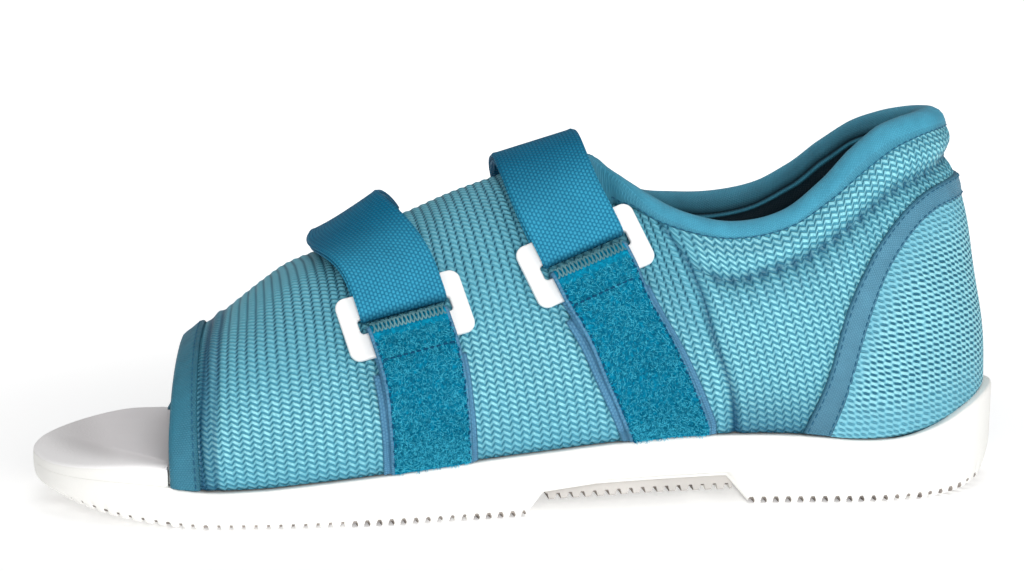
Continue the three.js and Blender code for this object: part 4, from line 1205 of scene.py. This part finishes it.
# 0 on a tread rib, 1 in the groove
def tooth(x):
    return ease((np.cos(2 * np.pi * x / soleLook["pitch"]) - 0.15) / 0.5)


# outward directions of half an outline, straight out where it meets the middle
def outward(p):
    out = unit(vectors(-np.gradient(p[:, 1]), np.gradient(p[:, 0])))
    out[0], out[-1] = [-1, 0], [1, 0]
    return out


# half an outline with its directions
def smoothHalf(rows, step):
    run = runLength(rows)
    p = splineThrough(run, rows)(np.linspace(0, run[-1], int(run[-1] / step) + 1))
    p[0, 1] = p[-1, 1] = 0
    p[:, 1] = np.maximum(p[:, 1], 0)
    return p, outward(p)


# closed body between the near and far halves of an outline; levels are (inset, height) rows
def slab(levels, p, out, far=None):
    verts = []
    for side in (-1, 1):
        q, o = (p, out) if side < 0 or far is None else far
        rings = [vectors(q[:, 0] - o[:, 0] * inset, side * np.maximum(q[:, 1] - o[:, 1] * inset, 0), height)
                 for inset, height in levels]
        verts.append(np.stack(rings))
    n, m = verts[0].shape[:2]
    faces = [gridFaces(n, m), gridFaces(n, m) + n * m]
    faces += [bridge(np.arange(m) + level * m, n * m) for level in (0, n - 1)]
    return join(*verts).reshape(-1, 3), join(*faces)


def makeSole():
    p, out = smoothHalf(halfWide, soleLook["step"])
    x = p[:, 0]
    arch = np.interp(x, archLine[:, 0], archLine[:, 1], 0, 0)
    rest = np.maximum(0, bottomCurve(x))
    low = np.maximum(rest, arch)
    groove = soleLook["notch"] * tooth(x) * (arch < 0.05) * (1 - 0.35 * ease((-45 - x) / 25))
    top = edgeAt(x) + 0.27 * ease((-100 - x) / 3)
    inset = bottomInset(x)
    heelRim = np.linspace(0.7, 1, 500)
    rimLine = skin(heelRim, crossing(heelRim, lambda q: edgeAt(q) - 0.3, 0.35), 0.35)
    distance = np.sqrt(((p[:, None] - np.abs(rimLine[None, :, :2])) ** 2).sum(-1)).min(1)
    lip = np.where(x > 97, np.clip(distance, 0.9, 6), 2.5)
    lip = 2.5 + (lip - 2.5) * ease((x - 97) / 6)
    waist = 0.4 * rest + 0.51 * floorAt(x) + 2 * ease((x - 94) / 6)
    waist = np.maximum(waist, low + 2.5)
    levels = [(inset + 3.2, low + groove), (inset + 1.2, low + groove), (inset + 0.35, low + groove + 0.3),
              (inset, low + groove + 0.9)]
    start = low + groove + 0.9
    for f in (0.15, 0.35, 0.6, 0.8, 1.0):
        levels.append((0.5 + (inset - 0.5) * (1 - f) ** 1.7, start + (waist - start) * f))
    for f in (0.25, 0.5, 0.75):
        levels.append((0.5 * (1 - f), waist + (top - 1.3 - waist) * f))
    soft = 0.12 + 0.88 * ease((x + 103) / 3)
    levels += [(soft * inward, top - soft * below) for inward, below in topRound]
    levels += [(0.75 * soft, top), (lip - 0.1, top), (lip + 0.15, top - 0.3 * (x > 97)),
               (lip + 0.5, floorAt(x))]
    verts, faces = slab(levels, p, out)
    # notch faces take the groove colour, painted shade
    cut = (0.5 * (groove[1:] + groove[:-1]) > 0.45 * soleLook["notch"])
    side = np.zeros((len(levels) - 1, len(cut)))
    side[:3] = cut
    marks = join(side.ravel(), side.ravel(), cut, 0 * cut)
    padSides = [[a, b - soleLook["padInset"]] for a, b in halfWide if 4 < a < 68]
    padRows = np.array([[2.4, 0], [2.6, 20], [3.4, 32.5], *padSides])
    padRows = join(padRows[padRows[:, 0] < 57], [[56.8, 29.6], [57.2, 20], [57.2, 0]])
    run = runLength(padRows)
    q = resample(padRows, run, int(run[-1] / soleLook["step"]))
    o = unit(vectors(-np.gradient(q[:, 1]), np.gradient(q[:, 0])))
    bottom = np.interp(q[:, 0], [3.2, 30, 57], [2.9, 3.6, 3.7])
    padGroove = soleLook["padNotch"] * tooth(q[:, 0])
    padLevels = [(0.6, bottom + padGroove), (0, bottom + 0.5 + padGroove), (0, 6.0), (0, 8.6)]
    padVerts, padFaces = slab(padLevels, q, o)
    # pad sides take the grey pad colour and notch faces the groove colour, both painted shade
    padCut = tooth(0.5 * (q[1:, 0] + q[:-1, 0])) > 0.45
    padSide = np.full((3, len(padCut)), 2)
    padSide[0] -= padCut
    padMarks = join(padSide.ravel(), padSide.ravel(), padCut, 0 * padCut)
    makePiece("outsole_foam", "outsole", ["outsole"], join(verts, padVerts),
              [join(faces, padFaces + len(verts))], ["sole", "groove", "pad"], marks=join(marks, padMarks),
              sharp=38)


# where the footbed steps in beside the toe binding, and how much of its thickness is left at the tip
bedLook = {"near": -102.95, "far": -99.35, "lean": 0.43, "above": 0.3, "tip": 0.5, "topFrom": 16.4}
bedLevels = ((0, 0), (0, 2.2), (0, 3.6), (0.1, 4.3), (0.35, 4.85), (0.8, 5.2), (1.5, 5.36), (2.6, 5.4))


def makeFootbed():
    toePart = [[a, max(0, b - 0.1)] for a, b in halfWide if a < -108]
    inside = skin(np.linspace(0, 1, 60), 0.0, -shell["wall"] - 0.6)[:, :2] * [1, -1]
    inside = inside[inside[:, 0] > -85]
    inside[-1, 1] = 0
    halves = []
    for step in (bedLook["near"], bedLook["far"]):
        corner = [[step - 0.1, 43.2]]
        toeRows = np.array(toePart + corner)
        toeRun = runLength(toeRows)
        first = splineThrough(toeRun, toeRows)(np.linspace(0, toeRun[-1], 110))
        rest = join(corner, [[step + 0.5, 39.3], [step + 6, 40.3], [step + 10.5, 40.9]], inside)
        q = join(first, resample(rest, runLength(rest), 260)[1:])
        q[0, 1] = q[-1, 1] = 0
        halves.append((q, outward(q)))
    base = floorAt(halves[0][0][:, 0]) + bedLook["above"]
    verts, faces = slab([(inset, base + high) for inset, high in bedLevels], *halves[0], far=halves[1])
    leaning = bedLook["lean"] * (verts[:, 2] - 12.1) * bell(verts[:, 0] - bedLook["far"], 3)
    verts[:, 0] += np.where(verts[:, 1] > 38, np.maximum(leaning, 0), 0)
    # the tone marks the top faces, which alone take the painted shade
    tone = vectors(1.0 * (verts[:, 2] > bedLook["topFrom"]), 0.0, 0.0)
    foot = floorAt(verts[:, 0]) + bedLook["above"]
    kept = bedLook["tip"] + (1 - bedLook["tip"]) * ease((verts[:, 0] + 140) / 36)
    verts[:, 2] = foot + (verts[:, 2] - foot) * kept
    perLevel = len(halves[0][0]) - 1
    perSide = (len(bedLevels) - 1) * perLevel
    level = np.arange(2 * perSide) % perSide // perLevel
    marks = join(level < 3, np.ones(perLevel), np.zeros(perLevel))
    piece = makePiece("footbed_cushion", "footbed", ["footbed"], verts, [faces], ["bed", "sole"], tone=tone,
                      marks=marks, sharp=50)


makeSole()
makeFootbed()
print("sole made")


view = {"target": (-1.62, 0.98, 58.24), "azimuth": -8.0, "elevation": 10.0, "distance": 1400.0,
        "pixelsPerMm": 3.52, "pixelsWide": 1024, "sensor": 36.0}
lights = {  # metres: place, aim, size, watts
    "keyLight": ((-0.05, -1.62, 0.42), (0, 0, 0.05), 0.8, 15.5),
    "sideLight": ((1.1, -1.2, 0.4), (0.05, 0, 0.05), 0.7, 3.4),
    "topLight": ((0.1, 0.3, 1.5), (0, 0, 0.05), 1.2, 6.4),
}


def makeStudio():
    scene = bpy.context.scene
    a, e = math.radians(view["azimuth"]), math.radians(view["elevation"])
    back = Vector((math.sin(a) * math.cos(e), -math.cos(a) * math.cos(e), math.sin(e)))
    data = bpy.data.cameras.new("camera")
    data.sensor_width = view["sensor"]
    data.lens = view["sensor"] * view["pixelsPerMm"] * view["distance"] / view["pixelsWide"]
    data.clip_start, data.clip_end = 0.01, 20
    camera = bpy.data.objects.new("camera", data)
    camera.location = (Vector(view["target"]) + back * view["distance"]) * 0.001
    camera.rotation_mode = "QUATERNION"
    camera.rotation_quaternion = (-back).to_track_quat("-Z", "Y")
    scene.collection.objects.link(camera)
    scene.camera = camera
    for name, (place, aim, size, power) in lights.items():
        light = bpy.data.lights.new(name, "AREA")
        light.shape, light.size, light.energy = "DISK", size, power
        lamp = bpy.data.objects.new(name, light)
        lamp.location = place
        lamp.rotation_mode = "QUATERNION"
        lamp.rotation_quaternion = (Vector(aim) - Vector(place)).to_track_quat("-Z", "Y")
        scene.collection.objects.link(lamp)
    world = bpy.data.worlds.new("studioWorld")
    world.use_nodes = True
    world.node_tree.nodes["Background"].inputs["Color"].default_value = (1, 1, 1, 1)
    world.node_tree.nodes["Background"].inputs["Strength"].default_value = 0.33
    scene.world = world
    mesh = bpy.data.meshes.new("floor")
    mesh.from_pydata([(-4, -3, 0), (4, -3, 0), (4, 6, 0), (-4, 6, 0)], [], [(0, 1, 2, 3)])
    floor = bpy.data.objects.new("floor", mesh)
    scene.collection.objects.link(floor)
    material, tree, shader = startMaterial("paleFloor", 0.9, 0.1)
    shader.inputs["Base Color"].default_value = (0.93, 0.93, 0.93, 1)
    shader.inputs["Emission Color"].default_value = (1, 1, 1, 1)
    away = Wire(addNode(tree, "VectorMath", {0: objectPlace(tree)}, operation="LENGTH").outputs["Value"])
    feed(shader.inputs["Emission Strength"], away.ramp(0.15, 0.42, 0.34, 0.66))
    mesh.materials.append(material)
    scene.view_settings.view_transform = "Standard"
    scene.view_settings.look = "None"


makeStudio()
print("studio made")
